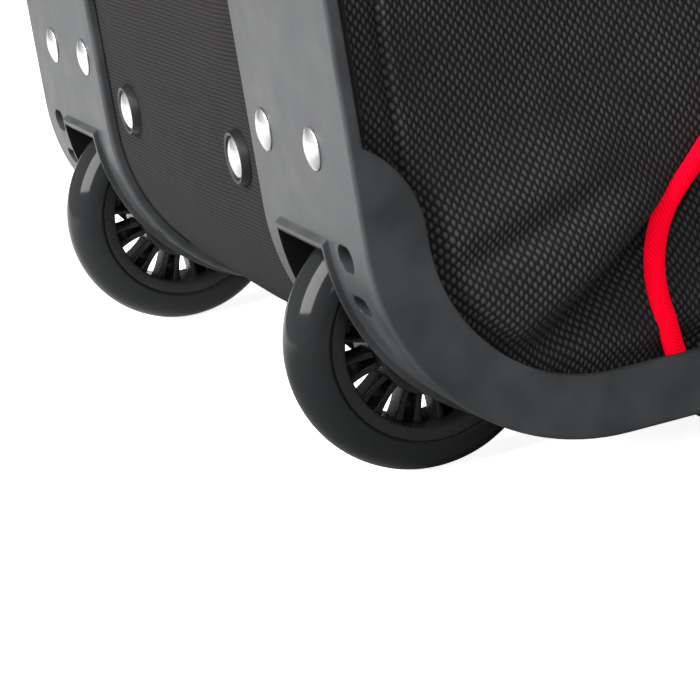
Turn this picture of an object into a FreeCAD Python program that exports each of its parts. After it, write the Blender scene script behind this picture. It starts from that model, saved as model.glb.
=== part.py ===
"""Wheeled hockey equipment bag, in millimetres.

+X runs from the wheel end to the handle end, +Y is the right-hand side, +Z is up. The origin is on
the floor, under the middle of the bag's overall length and width. Every piece is one STEP file in
parts/. Left and right pieces are mirror images in the plane y = 0.
"""

import FreeCAD, Part
import math
import os

V = FreeCAD.Vector

# ---------------------------------------------------------------- driving dimensions

# Wheels: inline skate size, on 608 bearings
WHEEL_RADIUS = 40.0
WHEEL_WIDTH = 24.0
TRACK = 252.0
CORE_RADIUS = 29.6
CORE_HALF_WIDTH = 11.4
RIM_INNER_RADIUS = 25.3
HUB_RADIUS = 15.6
KEY_RADIUS = 33.0
KEY_HALF_WIDTH = 3.0
SPOKE_PAIRS = 12
SPOKE_PHASE = -3.0
SPOKE_AT_RIM = 1.8
SPOKE_AT_HUB = 3.0
SPOKE_HALF_WIDTH = 9.6
WEB_HALF_WIDTH = 2.0
BEARING_OUTER_RADIUS = 11.0
BEARING_BORE_RADIUS = 4.0
BEARING_WIDTH = 7.0
BEARING_BALLS = 7
SPACER_LENGTH = 10.4
BOLT_CLEARANCE = 0.05
WASHER_THICKNESS = 1.0
RUNNING_GAP = 0.03

# Where the bag's hard corner sits round the wheel
FACE_REACH = 28.0
BOTTOM_DROP = 28.5
CORNER_RADIUS = 68.0
SLOT_HALF_WIDTH = 20.0
WHEEL_CLEARANCE = 6.2

# Wheel housings, which are also the corner guards
HOUSING_INNER_Y = 88.0
HOUSING_OUTER_Y = 180.0
HOUSING_WALL = 3.6
HOUSING_RISE = 110.0
HOUSING_RUN = 170.0
WELL_WALL = 3.0
GUARD_ROUNDING = 1.2
INNER_ROUNDING = 1.6
BAND_WIDTH = 18.3
BAND_LIP = 4.0
SHOULDER_RADIUS = 30.5
SHOULDER_RISE = 42.0
BAND_END_RADIUS = 60.0
GUARD_RUN = 62.0
GUARD_RISE = 92.0
GUARD_BAND = 14.0
GUARD_INNER_Y = 112.0
SLOT_LEDGE = 1.4
SLOT_RIM = 1.6
SLOT_RIM_HEIGHT = 1.8
DRAIN_Y = 161.0
DRAIN_LENGTH = 12.0
DRAIN_RISES_AND_WIDTHS = ((34.8, 7.8), (20.6, 5.8))

# Rivets
RIVET_SHANK = 2.5
RIVET_HEAD = 6.5
RIVET_CROWN = 1.9
RIVET_HOLE_GAP = 0.1
HOUSING_RIVET_SPREAD = 22.0
HOUSING_RIVET_RISE = 64.5
FLOOR_RIVET_RUNS = (75.0, 150.0)
FLOOR_RIVET_INSET = 10.0
PANEL_RIVET_Y = 62.0
PANEL_RIVET_RISE = 50.0
COLLAR_RADIUS = 9.0
COLLAR_HEIGHT = 3.0

# The bag
BAG_LENGTH = 900.0
FABRIC = 3.0
FIT_GAP = 0.2
HANDLE_CORNER_RADIUS = 45.0
WRAP_RISE_WHEEL_END = 160.0
WRAP_RISE_HANDLE_END = 75.0
LID_Z = 380.0
BOARD = 4.0
BOARD_RISE = 125.0
BRACE_LENGTH = 150.0
BRACE_WIDTH = 20.0
BRACE_THICKNESS = 3.0

# Zip round the lid
ZIP_DROP = 28.0
TAPE_WIDTH = 15.0
TAPE_THICKNESS = 1.0
COIL_HEIGHT = 3.3
COIL_GAP = 1.2
SLIDER_LENGTH = 16.0
SLIDER_HEIGHT = 12.0
SLIDER_PLATE = 1.5
SLIDER_PLAY = 0.3
PULL_LENGTH = 34.0
PULL_WIDTH = 9.0
PULL_THICKNESS = 2.0
PULL_PIN_RADIUS = 1.2

# Red welt piping
PIPING_RADIUS = 3.0
LID_PIPING_RADIUS = 2.5
LID_PIPING_INSET = 6.0
LID_PIPING_BEND = 22.0

# Skid rails
RAIL_Y = 150.0
RAIL_WIDTH = 26.0
RAIL_START = 62.0
RAIL_NOSE = 14.0
RAIL_END_GAP = 20.0
RAIL_SCREWS = 5

# Carry handles
STRAP_WIDTH = 38.0
STRAP_THICKNESS = 2.2
STRAP_X = 190.0
STRAP_FOOT_Z = 168.0
CARRY_HINGE_Z = 300.0
CARRY_DROP = 118.0
CARRY_THICKNESS = 3.0
CARRY_BEND = 60.0
GRIP_LENGTH = 130.0
GRIP_PAD = 6.5
GRIP_OVERHANG = 3.0

# Tow handle on the end opposite the wheels
TOW_Z = 285.0
TOW_WIDTH = 112.0
TOW_DROP = 85.0
TOW_ARM = 12.0
TOW_GRIP_RADIUS = 13.0
TOW_PIN_RADIUS = 4.0
TOW_EAR = 8.0
TOW_PLATE = 4.0
TOW_PLATE_HEIGHT = 46.0
EAR_GAP = 0.6

# Grab strap on the wheel end
GRAB_Z = 262.0
GRAB_HALF_LENGTH = 100.0
GRAB_PAD = 26.0
GRAB_BOW = 15.5

# Vent eyelets and name window
EYELET_RADIUS = 9.0
EYELET_HOLE = 5.0
EYELET_LIP = 1.2
EYELET_Z = 300.0
EYELET_X = (-385.0, -345.0, -305.0, 285.0, 325.0, 365.0)
WINDOW_LENGTH = 110.0
WINDOW_WIDTH = 66.0
WINDOW_X = -250.0
WINDOW_THICKNESS = 1.4

# ---------------------------------------------------------------- places that follow from them

AXLE_Z = WHEEL_RADIUS
WHEEL_Y = TRACK / 2
WHEEL_PROUD = WHEEL_RADIUS - FACE_REACH
RECESS = HOUSING_WALL + FIT_GAP
BOTTOM_Z = AXLE_Z - BOTTOM_DROP
TOW_REACH = RECESS + TOW_PLATE + FIT_GAP
TOW_STAND_OFF = TOW_PLATE + FIT_GAP + 2.0
TOW_PROUD = TOW_STAND_OFF + 2 * TOW_GRIP_RADIUS - RECESS
OVERALL_LENGTH = WHEEL_PROUD + BAG_LENGTH + TOW_PROUD
FACE_X = -OVERALL_LENGTH / 2 + WHEEL_PROUD
FAR_X = FACE_X + BAG_LENGTH
AXLE_X = FACE_X + FACE_REACH
CORNER_X = FACE_X + CORNER_RADIUS
CORNER_Z = BOTTOM_Z + CORNER_RADIUS
WELL_RADIUS = WHEEL_RADIUS + WHEEL_CLEARANCE
BAND_INNER_Y = HOUSING_OUTER_Y - HOUSING_WALL
SIDE_OUTER_Y = BAND_INNER_Y - FIT_GAP
SIDE_INNER_Y = SIDE_OUTER_Y - FABRIC
END_X = FACE_X + RECESS
HANDLE_END_X = FAR_X - RECESS
LID_TOP = LID_Z + FABRIC
ZIP_Z = LID_Z - ZIP_DROP
WALL_TOP = ZIP_Z - TAPE_WIDTH
SKIRT_FOOT = ZIP_Z + TAPE_WIDTH
BOARD_X = END_X + FABRIC + FIT_GAP
FLOOR_Z = BOTTOM_Z + RECESS + FABRIC + FIT_GAP
HUB_HALF = SPACER_LENGTH / 2 + BEARING_WIDTH
WASHER_OUTER = HUB_HALF + WASHER_THICKNESS
TOW_X = HANDLE_END_X + TOW_STAND_OFF + TOW_GRIP_RADIUS
SIDES = {"left": -1, "right": 1}


# ---------------------------------------------------------------- helpers


def box(x0, x1, y0, y1, z0, z1):
    """A box between two corners."""
    return Part.makeBox(x1 - x0, y1 - y0, z1 - z0, V(x0, y0, z0))


def cylinder_y(x, z, radius, y0, y1):
    """A cylinder along +Y from y0 to y1."""
    return Part.makeCylinder(radius, y1 - y0, V(x, y0, z), V(0, 1, 0))


def cylinder_x(y, z, radius, x0, x1):
    """A cylinder along +X from x0 to x1."""
    return Part.makeCylinder(radius, x1 - x0, V(x0, y, z), V(1, 0, 0))


def cylinder_z(x, y, radius, z0, z1):
    """A cylinder along +Z from z0 to z1."""
    return Part.makeCylinder(radius, z1 - z0, V(x, y, z0), V(0, 0, 1))


def arc(centre_x, centre_z, radius, start, end, y=0.0):
    """An arc in a plane of constant y; angles in degrees, from +X towards +Z."""
    at = [math.radians(a) for a in (start, (start + end) / 2, end)]
    points = [V(centre_x + radius * math.cos(a), y, centre_z + radius * math.sin(a)) for a in at]
    return Part.Arc(*points).toShape()


def line(x0, z0, x1, z1, y=0.0):
    """A straight edge in a plane of constant y."""
    return Part.makeLine(V(x0, y, z0), V(x1, y, z1))


def plate_xz(edges, y0, y1):
    """The area inside edges drawn at y = 0, as a solid from y0 to y1."""
    face = Part.Face(Part.Wire(edges))
    face.translate(V(0, y0, 0))
    return face.extrude(V(0, y1 - y0, 0))


def polygon(points, thickness):
    """A closed polygon of vectors, thickened by a vector."""
    return Part.Face(Part.makePolygon(points + points[:1])).extrude(thickness)


def union(solids):
    """One solid from several that touch."""
    whole = solids[0].fuse(solids[1:]) if len(solids) > 1 else solids[0]
    return whole.removeSplitter()


def group(solids):
    """Separate solids that share a node."""
    return Part.makeCompound(solids)


def mirrored(shape):
    """The same shape on the other side of the bag."""
    return shape.mirror(V(0, 0, 0), V(0, 1, 0))


def on_side(shape, side):
    """A shape drawn on the right-hand side, as it is or mirrored to the left."""
    return shape if side > 0 else mirrored(shape)


def corner_area(inset, run, rise, y0, y1):
    """The side view of the rounded wheel-end corner, drawn in by inset, as a solid from y0 to y1."""
    left, low, radius = FACE_X + inset, BOTTOM_Z + inset, CORNER_RADIUS - inset
    right, top = AXLE_X + run, AXLE_Z + rise
    edges = [
        line(left, top, left, CORNER_Z),
        arc(CORNER_X, CORNER_Z, radius, 180, 270),
        line(CORNER_X, low, right, low),
        line(right, low, right, top),
        line(right, top, left, top),
    ]
    return plate_xz(edges, y0, y1)


def bag_area(inset, top, y0, y1):
    """The side view of the whole bag, drawn in by inset, as a solid from y0 to y1."""
    left, right, low = FACE_X + inset, FAR_X - inset, BOTTOM_Z + inset
    far_corner = HANDLE_CORNER_RADIUS - inset
    far_centre_x, far_centre_z = FAR_X - HANDLE_CORNER_RADIUS, BOTTOM_Z + HANDLE_CORNER_RADIUS
    edges = [
        line(left, top, left, CORNER_Z),
        arc(CORNER_X, CORNER_Z, CORNER_RADIUS - inset, 180, 270),
        line(CORNER_X, low, far_centre_x, low),
        arc(far_centre_x, far_centre_z, far_corner, 270, 360),
        line(right, far_centre_z, right, top),
        line(right, top, left, top),
    ]
    return plate_xz(edges, y0, y1)


def pipe(points, bends, radius):
    """A round tube along straight runs joined by tangent arcs, one bend radius for each inner point."""
    edges, start = [], points[0]
    for before, corner, after, bend in zip(points, points[1:], points[2:], bends):
        into, out = (corner - before).normalize(), (after - corner).normalize()
        turn = into.getAngle(out)
        back = bend * math.tan(turn / 2)
        a, b = corner - into * back, corner + out * back
        inward = (out - into).normalize()
        middle = corner + inward * (bend / math.cos(turn / 2) - bend)
        edges += [Part.makeLine(start, a), Part.Arc(a, middle, b).toShape()]
        start = b
    edges.append(Part.makeLine(start, points[-1]))
    spine = Part.Wire(edges)
    circle = Part.Wire(Part.makeCircle(radius, points[0], points[1] - points[0]))
    return Part.Wire(spine).makePipeShell([circle], True, False)


# ---------------------------------------------------------------- wheels


def ring(outer, inner, half_width, y=WHEEL_Y):
    """A plain ring round the right-hand axle."""
    whole = cylinder_y(AXLE_X, AXLE_Z, outer, y - half_width, y + half_width)
    return whole.cut(cylinder_y(AXLE_X, AXLE_Z, inner, y - half_width - 1, y + half_width + 1))


def turned(points):
    """A ring turned round the right-hand axle from (radius, offset along the axle) points."""
    outline = [V(AXLE_X + r, WHEEL_Y + y, AXLE_Z) for r, y in points]
    face = Part.Face(Part.makePolygon(outline + outline[:1]))
    return face.revolve(V(AXLE_X, WHEEL_Y, AXLE_Z), V(0, 1, 0), 360)


def tyre():
    """Round-shouldered tread with a groove that keys it to the core."""
    crown = WHEEL_WIDTH / 2
    centre = WHEEL_RADIUS - crown
    torus = Part.makeTorus(centre, crown, V(AXLE_X, WHEEL_Y, AXLE_Z), V(0, 1, 0))
    return torus.cut(ring(CORE_RADIUS, 1.0, crown + 1)).cut(ring(KEY_RADIUS, 1.0, KEY_HALF_WIDTH))


def spoke():
    """One tapered rib from hub to rim, along +X from the axle."""
    r0, r1 = HUB_RADIUS - 0.8, RIM_INNER_RADIUS + 0.8
    outline = [
        V(AXLE_X + r0, 0, AXLE_Z - SPOKE_AT_HUB / 2),
        V(AXLE_X + r1, 0, AXLE_Z - SPOKE_AT_RIM / 2),
        V(AXLE_X + r1, 0, AXLE_Z + SPOKE_AT_RIM / 2),
        V(AXLE_X + r0, 0, AXLE_Z + SPOKE_AT_HUB / 2),
    ]
    rib = polygon(outline, V(0, 2 * SPOKE_HALF_WIDTH, 0))
    rib.translate(V(0, WHEEL_Y - SPOKE_HALF_WIDTH, 0))
    return rib


def web(angle):
    """The recessed wall that closes the gap between one pair of ribs."""
    r = RIM_INNER_RADIUS + 0.8
    half = math.radians(angle / 2)
    reach = 2 * r
    outline = [
        V(AXLE_X, 0, AXLE_Z),
        V(AXLE_X + reach, 0, AXLE_Z - reach * math.tan(half)),
        V(AXLE_X + reach, 0, AXLE_Z + reach * math.tan(half)),
    ]
    wedge = polygon(outline, V(0, 2 * WEB_HALF_WIDTH, 0))
    wedge.translate(V(0, WHEEL_Y - WEB_HALF_WIDTH, 0))
    return wedge.common(ring(r, HUB_RADIUS - 0.8, WEB_HALF_WIDTH + 1))


def core():
    """Moulded nylon core: rim, hub and alternating open and webbed gaps between ribs."""
    rim = ring(CORE_RADIUS, RIM_INNER_RADIUS, CORE_HALF_WIDTH)
    key = ring(KEY_RADIUS, CORE_RADIUS - 1, KEY_HALF_WIDTH)
    hub = ring(HUB_RADIUS, BEARING_OUTER_RADIUS, HUB_HALF)
    stop = ring(BEARING_OUTER_RADIUS + 0.5, BEARING_OUTER_RADIUS - 1.5, SPACER_LENGTH / 2)
    step = 360.0 / (2 * SPOKE_PAIRS)
    pieces = [rim, key, hub, stop]
    axis_at, axis = V(AXLE_X, WHEEL_Y, AXLE_Z), V(0, 1, 0)
    for i in range(2 * SPOKE_PAIRS):
        rib = spoke()
        rib.rotate(axis_at, axis, SPOKE_PHASE + (i + 0.5) * step)
        pieces.append(rib)
    for i in range(SPOKE_PAIRS):
        wall = web(step)
        wall.rotate(axis_at, axis, SPOKE_PHASE + (2 * i + 1) * step)
        pieces.append(wall)
    return union(pieces)


RACE = 2.2
BALL_RADIUS = 2.0
PITCH_RADIUS = (BEARING_OUTER_RADIUS + BEARING_BORE_RADIUS) / 2
BEARING_CENTRES = [sign * (SPACER_LENGTH + BEARING_WIDTH) / 2 for sign in (-1, 1)]


def race_groove(offset):
    """The ring that the balls roll in, cut from both races."""
    radius = BALL_RADIUS + RUNNING_GAP
    return Part.makeTorus(PITCH_RADIUS, radius, V(AXLE_X, WHEEL_Y + offset, AXLE_Z), V(0, 1, 0))


def outer_races():
    """Outer rings of both bearings of one wheel, pressed in the hub."""
    inner = BEARING_OUTER_RADIUS - RACE
    rings = [ring(BEARING_OUTER_RADIUS, inner, BEARING_WIDTH / 2, WHEEL_Y + c) for c in BEARING_CENTRES]
    return group([r.cut(race_groove(c)) for r, c in zip(rings, BEARING_CENTRES)])


def inner_races():
    """Inner rings of both bearings of one wheel, clamped on the bolt."""
    outer = BEARING_BORE_RADIUS + RACE
    rings = [ring(outer, BEARING_BORE_RADIUS, BEARING_WIDTH / 2, WHEEL_Y + c) for c in BEARING_CENTRES]
    return group([r.cut(race_groove(c)) for r, c in zip(rings, BEARING_CENTRES)])


def balls():
    """Steel balls of both bearings of one wheel."""
    found = []
    for centre in BEARING_CENTRES:
        for i in range(BEARING_BALLS):
            a = 2 * math.pi * i / BEARING_BALLS
            x, z = AXLE_X + PITCH_RADIUS * math.cos(a), AXLE_Z + PITCH_RADIUS * math.sin(a)
            found.append(Part.makeSphere(BALL_RADIUS, V(x, WHEEL_Y + centre, z)))
    return group(found)


AXLE_RADIUS = BEARING_BORE_RADIUS - BOLT_CLEARANCE
BOLT_HEAD_RADIUS = 6.6
BOLT_HEAD_HEIGHT = 4.0
BOLT_TAIL = 6.4
NUT_ACROSS = 13.0
NUT_HEIGHT = 6.0
WELL_OUTER_FACE = SLOT_HALF_WIDTH + WELL_WALL


def spacer():
    """Sleeve that holds the two inner races apart."""
    return ring(BEARING_BORE_RADIUS + 1.6, BEARING_BORE_RADIUS, SPACER_LENGTH / 2)


def axle_bolt():
    """Button-head bolt through the well, its head on the outer wall, with a hex socket."""
    head_foot = WHEEL_Y + WELL_OUTER_FACE
    shank = cylinder_y(AXLE_X, AXLE_Z, AXLE_RADIUS, WHEEL_Y - WELL_OUTER_FACE - BOLT_TAIL, head_foot + 1)
    head = Part.makeCone(
        BOLT_HEAD_RADIUS, BOLT_HEAD_RADIUS - 2, BOLT_HEAD_HEIGHT, V(AXLE_X, head_foot, AXLE_Z), V(0, 1, 0)
    )
    socket = hexagon(5.0, head_foot + BOLT_HEAD_HEIGHT - 2.4, head_foot + BOLT_HEAD_HEIGHT + 1)
    return union([shank, head]).cut(socket)


def hexagon(across, y0, y1):
    """A hexagonal bar along the axle, by its width across the flats."""
    r = across / math.sqrt(3)
    at = [math.radians(60 * i) for i in range(6)]
    points = [V(AXLE_X + r * math.cos(a), y0, AXLE_Z + r * math.sin(a)) for a in at]
    return polygon(points, V(0, y1 - y0, 0))


def axle_nut():
    """Lock nut on the well's inner wall."""
    foot = WHEEL_Y - WELL_OUTER_FACE
    bar = hexagon(NUT_ACROSS, foot - NUT_HEIGHT, foot)
    return bar.cut(cylinder_y(AXLE_X, AXLE_Z, AXLE_RADIUS, foot - NUT_HEIGHT - 1, foot + 1))


def on_both_sides(make):
    """A node that holds the same hardware for both wheels."""

    def both():
        right = make()
        return group(right.Solids + mirrored(right).Solids)

    return both


def axle_washers():
    """Speed washers between the inner races and the bosses of the well."""
    half = WASHER_THICKNESS / 2
    outer = BEARING_BORE_RADIUS + 1.5
    places = [WHEEL_Y - HUB_HALF - half, WHEEL_Y + HUB_HALF + half]
    return group([ring(outer, BEARING_BORE_RADIUS, half, y) for y in places])


# ---------------------------------------------------------------- wheel housings


def band_window():
    """What the side plate leaves open, above and inside the guard band."""
    lip_x = FACE_X + BAND_LIP
    shoulder_x = FACE_X + BAND_WIDTH - SHOULDER_RADIUS
    shoulder_z = AXLE_Z + SHOULDER_RISE
    lip_angle = math.degrees(math.acos((lip_x - shoulder_x) / SHOULDER_RADIUS))
    lip_z = shoulder_z + SHOULDER_RADIUS * math.sin(math.radians(lip_angle))
    top, right = AXLE_Z + HOUSING_RISE + 1, AXLE_X + HOUSING_RUN + 1
    inner = CORNER_RADIUS - BAND_WIDTH
    band_top = BOTTOM_Z + BAND_WIDTH
    end_turn = math.acos(1 - BAND_WIDTH / BAND_END_RADIUS)
    end_x = right - BAND_END_RADIUS * math.sin(end_turn)
    end_angle = 90 - math.degrees(end_turn)
    edges = [
        line(lip_x, top, lip_x, lip_z),
        arc(shoulder_x, shoulder_z, SHOULDER_RADIUS, lip_angle, 0),
        line(shoulder_x + SHOULDER_RADIUS, shoulder_z, CORNER_X - inner, CORNER_Z),
        arc(CORNER_X, CORNER_Z, inner, 180, 270),
        line(CORNER_X, band_top, end_x, band_top),
        arc(end_x, band_top - BAND_END_RADIUS, BAND_END_RADIUS, 90, end_angle),
        line(right, BOTTOM_Z, right, top),
        line(right, top, lip_x, top),
    ]
    return plate_xz(edges, BAND_INNER_Y - 0.01, HOUSING_OUTER_Y + 1)


def long_edges(block, y):
    """The long edges where the housing's outer face turns into its side at y."""
    found = []
    for edge in block.Edges:
        low, high = edge.BoundBox.XMin, edge.BoundBox.XMax
        on_side_face = abs(edge.BoundBox.YMin - y) < 0.01 and edge.BoundBox.YLength < 0.01
        on_end_face = high < CORNER_X + 0.01 and low < FACE_X + 0.01
        on_floor = edge.BoundBox.ZMax < BOTTOM_Z + 0.01
        if on_side_face and (on_end_face and edge.BoundBox.ZMin < AXLE_Z + HOUSING_RISE - 1 or on_floor):
            found.append(edge)
    return found


def drain_slot(rise, width):
    """An obround hole through the housing's outer strip, along X."""
    half, radius, z = (DRAIN_LENGTH - width) / 2, width / 2, AXLE_Z + rise
    x0, x1 = FACE_X - 1, FACE_X + HOUSING_WALL + WHEEL_CLEARANCE + 8
    middle = box(x0, x1, DRAIN_Y - half, DRAIN_Y + half, z - radius, z + radius)
    ends = [cylinder_x(DRAIN_Y + s * half, z, radius, x0, x1) for s in (-1, 1)]
    return middle.fuse(ends)


def wheel_housing():
    """Moulded housing: corner shell, wheel well with axle bosses, guard band and slot rim."""
    block = corner_area(0, HOUSING_RUN, HOUSING_RISE, HOUSING_INNER_Y, HOUSING_OUTER_Y)
    block = block.makeFillet(GUARD_ROUNDING, long_edges(block, HOUSING_OUTER_Y))
    block = block.makeFillet(INNER_ROUNDING, long_edges(block, HOUSING_INNER_Y))
    inside = corner_area(
        HOUSING_WALL, HOUSING_RUN + 1, HOUSING_RISE + 1, HOUSING_INNER_Y - 1, BAND_INNER_Y
    )
    shell = block.cut(inside).cut(band_window())
    low, high = WHEEL_Y - SLOT_HALF_WIDTH, WHEEL_Y + SLOT_HALF_WIDTH
    drum = cylinder_y(AXLE_X, AXLE_Z, WELL_RADIUS + WELL_WALL, low - WELL_WALL, high + WELL_WALL)
    drum = drum.common(corner_area(0, HOUSING_RUN, HOUSING_RISE, HOUSING_INNER_Y, HOUSING_OUTER_Y))
    proud = corner_area(-SLOT_RIM_HEIGHT, HOUSING_RUN, HOUSING_RISE, low - SLOT_RIM, high + SLOT_RIM)
    reach = cylinder_y(AXLE_X, AXLE_Z, WELL_RADIUS + SLOT_LEDGE, low - SLOT_RIM, high + SLOT_RIM)
    deep = corner_area(HOUSING_WALL / 2, HOUSING_RUN, HOUSING_RISE, HOUSING_INNER_Y, HOUSING_OUTER_Y)
    rim = proud.common(reach).cut(deep)
    housing = shell.fuse([drum, rim]).cut(cylinder_y(AXLE_X, AXLE_Z, WELL_RADIUS, low, high))
    boss = SLOT_HALF_WIDTH - WASHER_OUTER
    bosses = [
        Part.makeCone(10.0, 8.0, boss, V(AXLE_X, low, AXLE_Z), V(0, 1, 0)),
        Part.makeCone(10.0, 8.0, boss, V(AXLE_X, high, AXLE_Z), V(0, -1, 0)),
    ]
    housing = housing.fuse(bosses).removeSplitter()
    housing = housing.cut(cylinder_y(AXLE_X, AXLE_Z, BEARING_BORE_RADIUS, low - 20, high + 20))
    for rise, width in DRAIN_RISES_AND_WIDTHS:
        housing = housing.cut(drain_slot(rise, width))
    return cut_rivet_holes(housing)


# ---------------------------------------------------------------- corner guards


def corner_guard():
    """Moulded guard on the right-hand bottom corner at the handle end."""
    x0, top = FAR_X - GUARD_RUN, BOTTOM_Z + GUARD_RISE
    keep = box(x0, FAR_X + 1, GUARD_INNER_Y, HOUSING_OUTER_Y, BOTTOM_Z - 1, top)
    block = bag_area(0, top, GUARD_INNER_Y, HOUSING_OUTER_Y).common(keep)
    block = block.makeFillet(GUARD_ROUNDING, [e for e in block.Edges if guard_rim(e, top)])
    inside = bag_area(HOUSING_WALL, top + 1, GUARD_INNER_Y - 1, BAND_INNER_Y)
    window = bag_area(GUARD_BAND, top + 1, BAND_INNER_Y - 1, HOUSING_OUTER_Y + 1)
    guard = block.cut(inside).cut(window)
    return guard.cut([cylinder_x(y, z, RIVET_SHANK + RIVET_HOLE_GAP, FAR_X - 20, FAR_X + 5)
                      for y, z in guard_rivet_places()])


def guard_rim(edge, top):
    """Whether an edge runs round the guard where its end and floor turn into its side."""
    box_of = edge.BoundBox
    at_side = box_of.YMin > HOUSING_OUTER_Y - 0.01
    at_top = box_of.ZMin > top - 0.01
    at_back = box_of.XMax < FAR_X - GUARD_RUN + 0.01
    return at_side and not at_top and not at_back


def guard_rivet_places():
    """(y, z) of the rivets of the right-hand corner guard."""
    z = BOTTOM_Z + GUARD_RISE - 16
    return [(GUARD_INNER_Y + 14, z), (HOUSING_OUTER_Y - 18, z)]


def cut_guard_holes(shape):
    """The shape with a hole for each rivet of both corner guards."""
    radius = RIVET_SHANK + RIVET_HOLE_GAP
    return shape.cut([cylinder_x(s * y, z, radius, FAR_X - 20, FAR_X + 5)
                      for y, z in guard_rivet_places() for s in (-1, 1)])


def guard_rivets():
    """Rivets of both corner guards, through the fabric."""
    found = []
    for s in (-1, 1):
        for y, z in guard_rivet_places():
            found.append(rivet(V(FAR_X, s * y, z), RECESS + FABRIC, V(-1, 0, 0)))
    return group(found)


# ---------------------------------------------------------------- rivets


def end_rivet_places():
    """(y, z, face x) of the rivets that hold the right-hand housing to the end."""
    z = AXLE_Z + HOUSING_RIVET_RISE
    return [(WHEEL_Y + s * HOUSING_RIVET_SPREAD, z, FACE_X) for s in (-1, 1)]


def floor_rivet_places():
    """(x, y) of the rivets under the right-hand housing."""
    return [(AXLE_X + run, HOUSING_INNER_Y + FLOOR_RIVET_INSET) for run in FLOOR_RIVET_RUNS]


def panel_rivet_places():
    """(y, z, seat x) of the right-hand rivet in the middle of the wheel end."""
    return [(PANEL_RIVET_Y, AXLE_Z + PANEL_RIVET_RISE, END_X - COLLAR_HEIGHT + 1.2)]


def cut_rivet_holes(shape):
    """The shape with a clearance hole for every rivet that passes it, on both sides of the bag."""
    radius = RIVET_SHANK + RIVET_HOLE_GAP
    holes = [
        cylinder_x(s * y, z, radius, FACE_X - 5, BOARD_X + BOARD + BRACE_THICKNESS + 5)
        for y, z, _ in end_rivet_places() + panel_rivet_places()
        for s in (-1, 1)
    ]
    holes += [
        cylinder_z(x, s * y, radius, BOTTOM_Z - 5, FLOOR_Z + BOARD + 5)
        for x, y in floor_rivet_places()
        for s in (-1, 1)
    ]
    return shape.cut(holes)


def rivet(seat, length, way):
    """A domed rivet whose head sits at seat; its shank runs length along way to a set tail."""
    crown = (RIVET_HEAD**2 + RIVET_CROWN**2) / (2 * RIVET_CROWN)
    ball = Part.makeSphere(crown, seat + way * (crown - RIVET_CROWN))
    keep = Part.makeCylinder(RIVET_HEAD, RIVET_CROWN + 1, seat - way * (RIVET_CROWN + 1), way)
    shank = Part.makeCylinder(RIVET_SHANK, length, seat, way)
    tail = Part.makeCone(RIVET_HEAD * 0.8, RIVET_SHANK, 1.6, seat + way * length, way)
    return union([ball.common(keep), shank, tail])


def housing_rivets():
    """Rivets through housing, fabric and board, at both wheel housings."""
    found = []
    for s in (-1, 1):
        for y, z, x in end_rivet_places():
            found.append(rivet(V(x, s * y, z), BOARD_X + BOARD - x, V(1, 0, 0)))
        for x, y in floor_rivet_places():
            found.append(rivet(V(x, s * y, BOTTOM_Z), FLOOR_Z + BOARD - BOTTOM_Z, V(0, 0, 1)))
    return group(found)


def panel_rivets():
    """The two rivets between the housings, through the cross brace."""
    back = BOARD_X + BOARD + BRACE_THICKNESS
    return group(
        [
            rivet(V(x, s * y, z), back - x, V(1, 0, 0))
            for y, z, x in panel_rivet_places()
            for s in (-1, 1)
        ]
    )


def rivet_collars():
    """Black cup washers under the two middle rivets."""
    found = []
    for y, z, seat in panel_rivet_places():
        for s in (-1, 1):
            cup = cylinder_x(s * y, z, COLLAR_RADIUS, END_X - COLLAR_HEIGHT, END_X)
            dish = cylinder_x(s * y, z, RIVET_HEAD + 0.4, END_X - COLLAR_HEIGHT - 1, seat)
            hole = cylinder_x(s * y, z, RIVET_SHANK + RIVET_HOLE_GAP, seat - 1, END_X + 1)
            found.append(cup.cut(dish).cut(hole))
    return group(found)


# ---------------------------------------------------------------- boards and rails


def end_board():
    """Stiff board behind the wheel end, cut out round the wells."""
    half = SIDE_INNER_Y - 1
    board = box(BOARD_X, BOARD_X + BOARD, -half, half, CORNER_Z + 1, CORNER_Z + BOARD_RISE)
    return cut_rivet_holes(board.cut(well_cutters()))


def cross_brace():
    """Steel bar that the two middle rivets draw up to the board."""
    x, z = BOARD_X + BOARD, AXLE_Z + PANEL_RIVET_RISE
    bar = box(
        x, x + BRACE_THICKNESS, -BRACE_LENGTH / 2, BRACE_LENGTH / 2, z - BRACE_WIDTH / 2 + 4, z + BRACE_WIDTH / 2
    )
    return cut_rivet_holes(bar)


def base_board():
    """Removable floor board, clear of the wheel wells."""
    x0, x1 = AXLE_X + WELL_RADIUS + WELL_WALL + 4, HANDLE_END_X - HANDLE_CORNER_RADIUS + RECESS
    board = box(x0, x1, -SIDE_INNER_Y + 1, SIDE_INNER_Y - 1, FLOOR_Z, FLOOR_Z + BOARD)
    return cut_screw_holes(cut_rivet_holes(board), SCREW_RADIUS + RIVET_HOLE_GAP)


SCREW_RADIUS = 2.0
SCREW_HEAD = 4.5
SCREW_SEAT = 5.0


def screw_places():
    """(x, y) of the rail screws on both sides."""
    first = AXLE_X + HOUSING_RUN + 40
    last = FAR_X - HANDLE_CORNER_RADIUS - RAIL_END_GAP - 30
    step = (last - first) / (RAIL_SCREWS - 1)
    return [(first + i * step, s * RAIL_Y) for i in range(RAIL_SCREWS) for s in (-1, 1)]


def cut_screw_holes(shape, radius):
    """The shape with a hole for each rail screw."""
    return shape.cut([cylinder_z(x, y, radius, -5, FLOOR_Z + BOARD + 5) for x, y in screw_places()])


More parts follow.
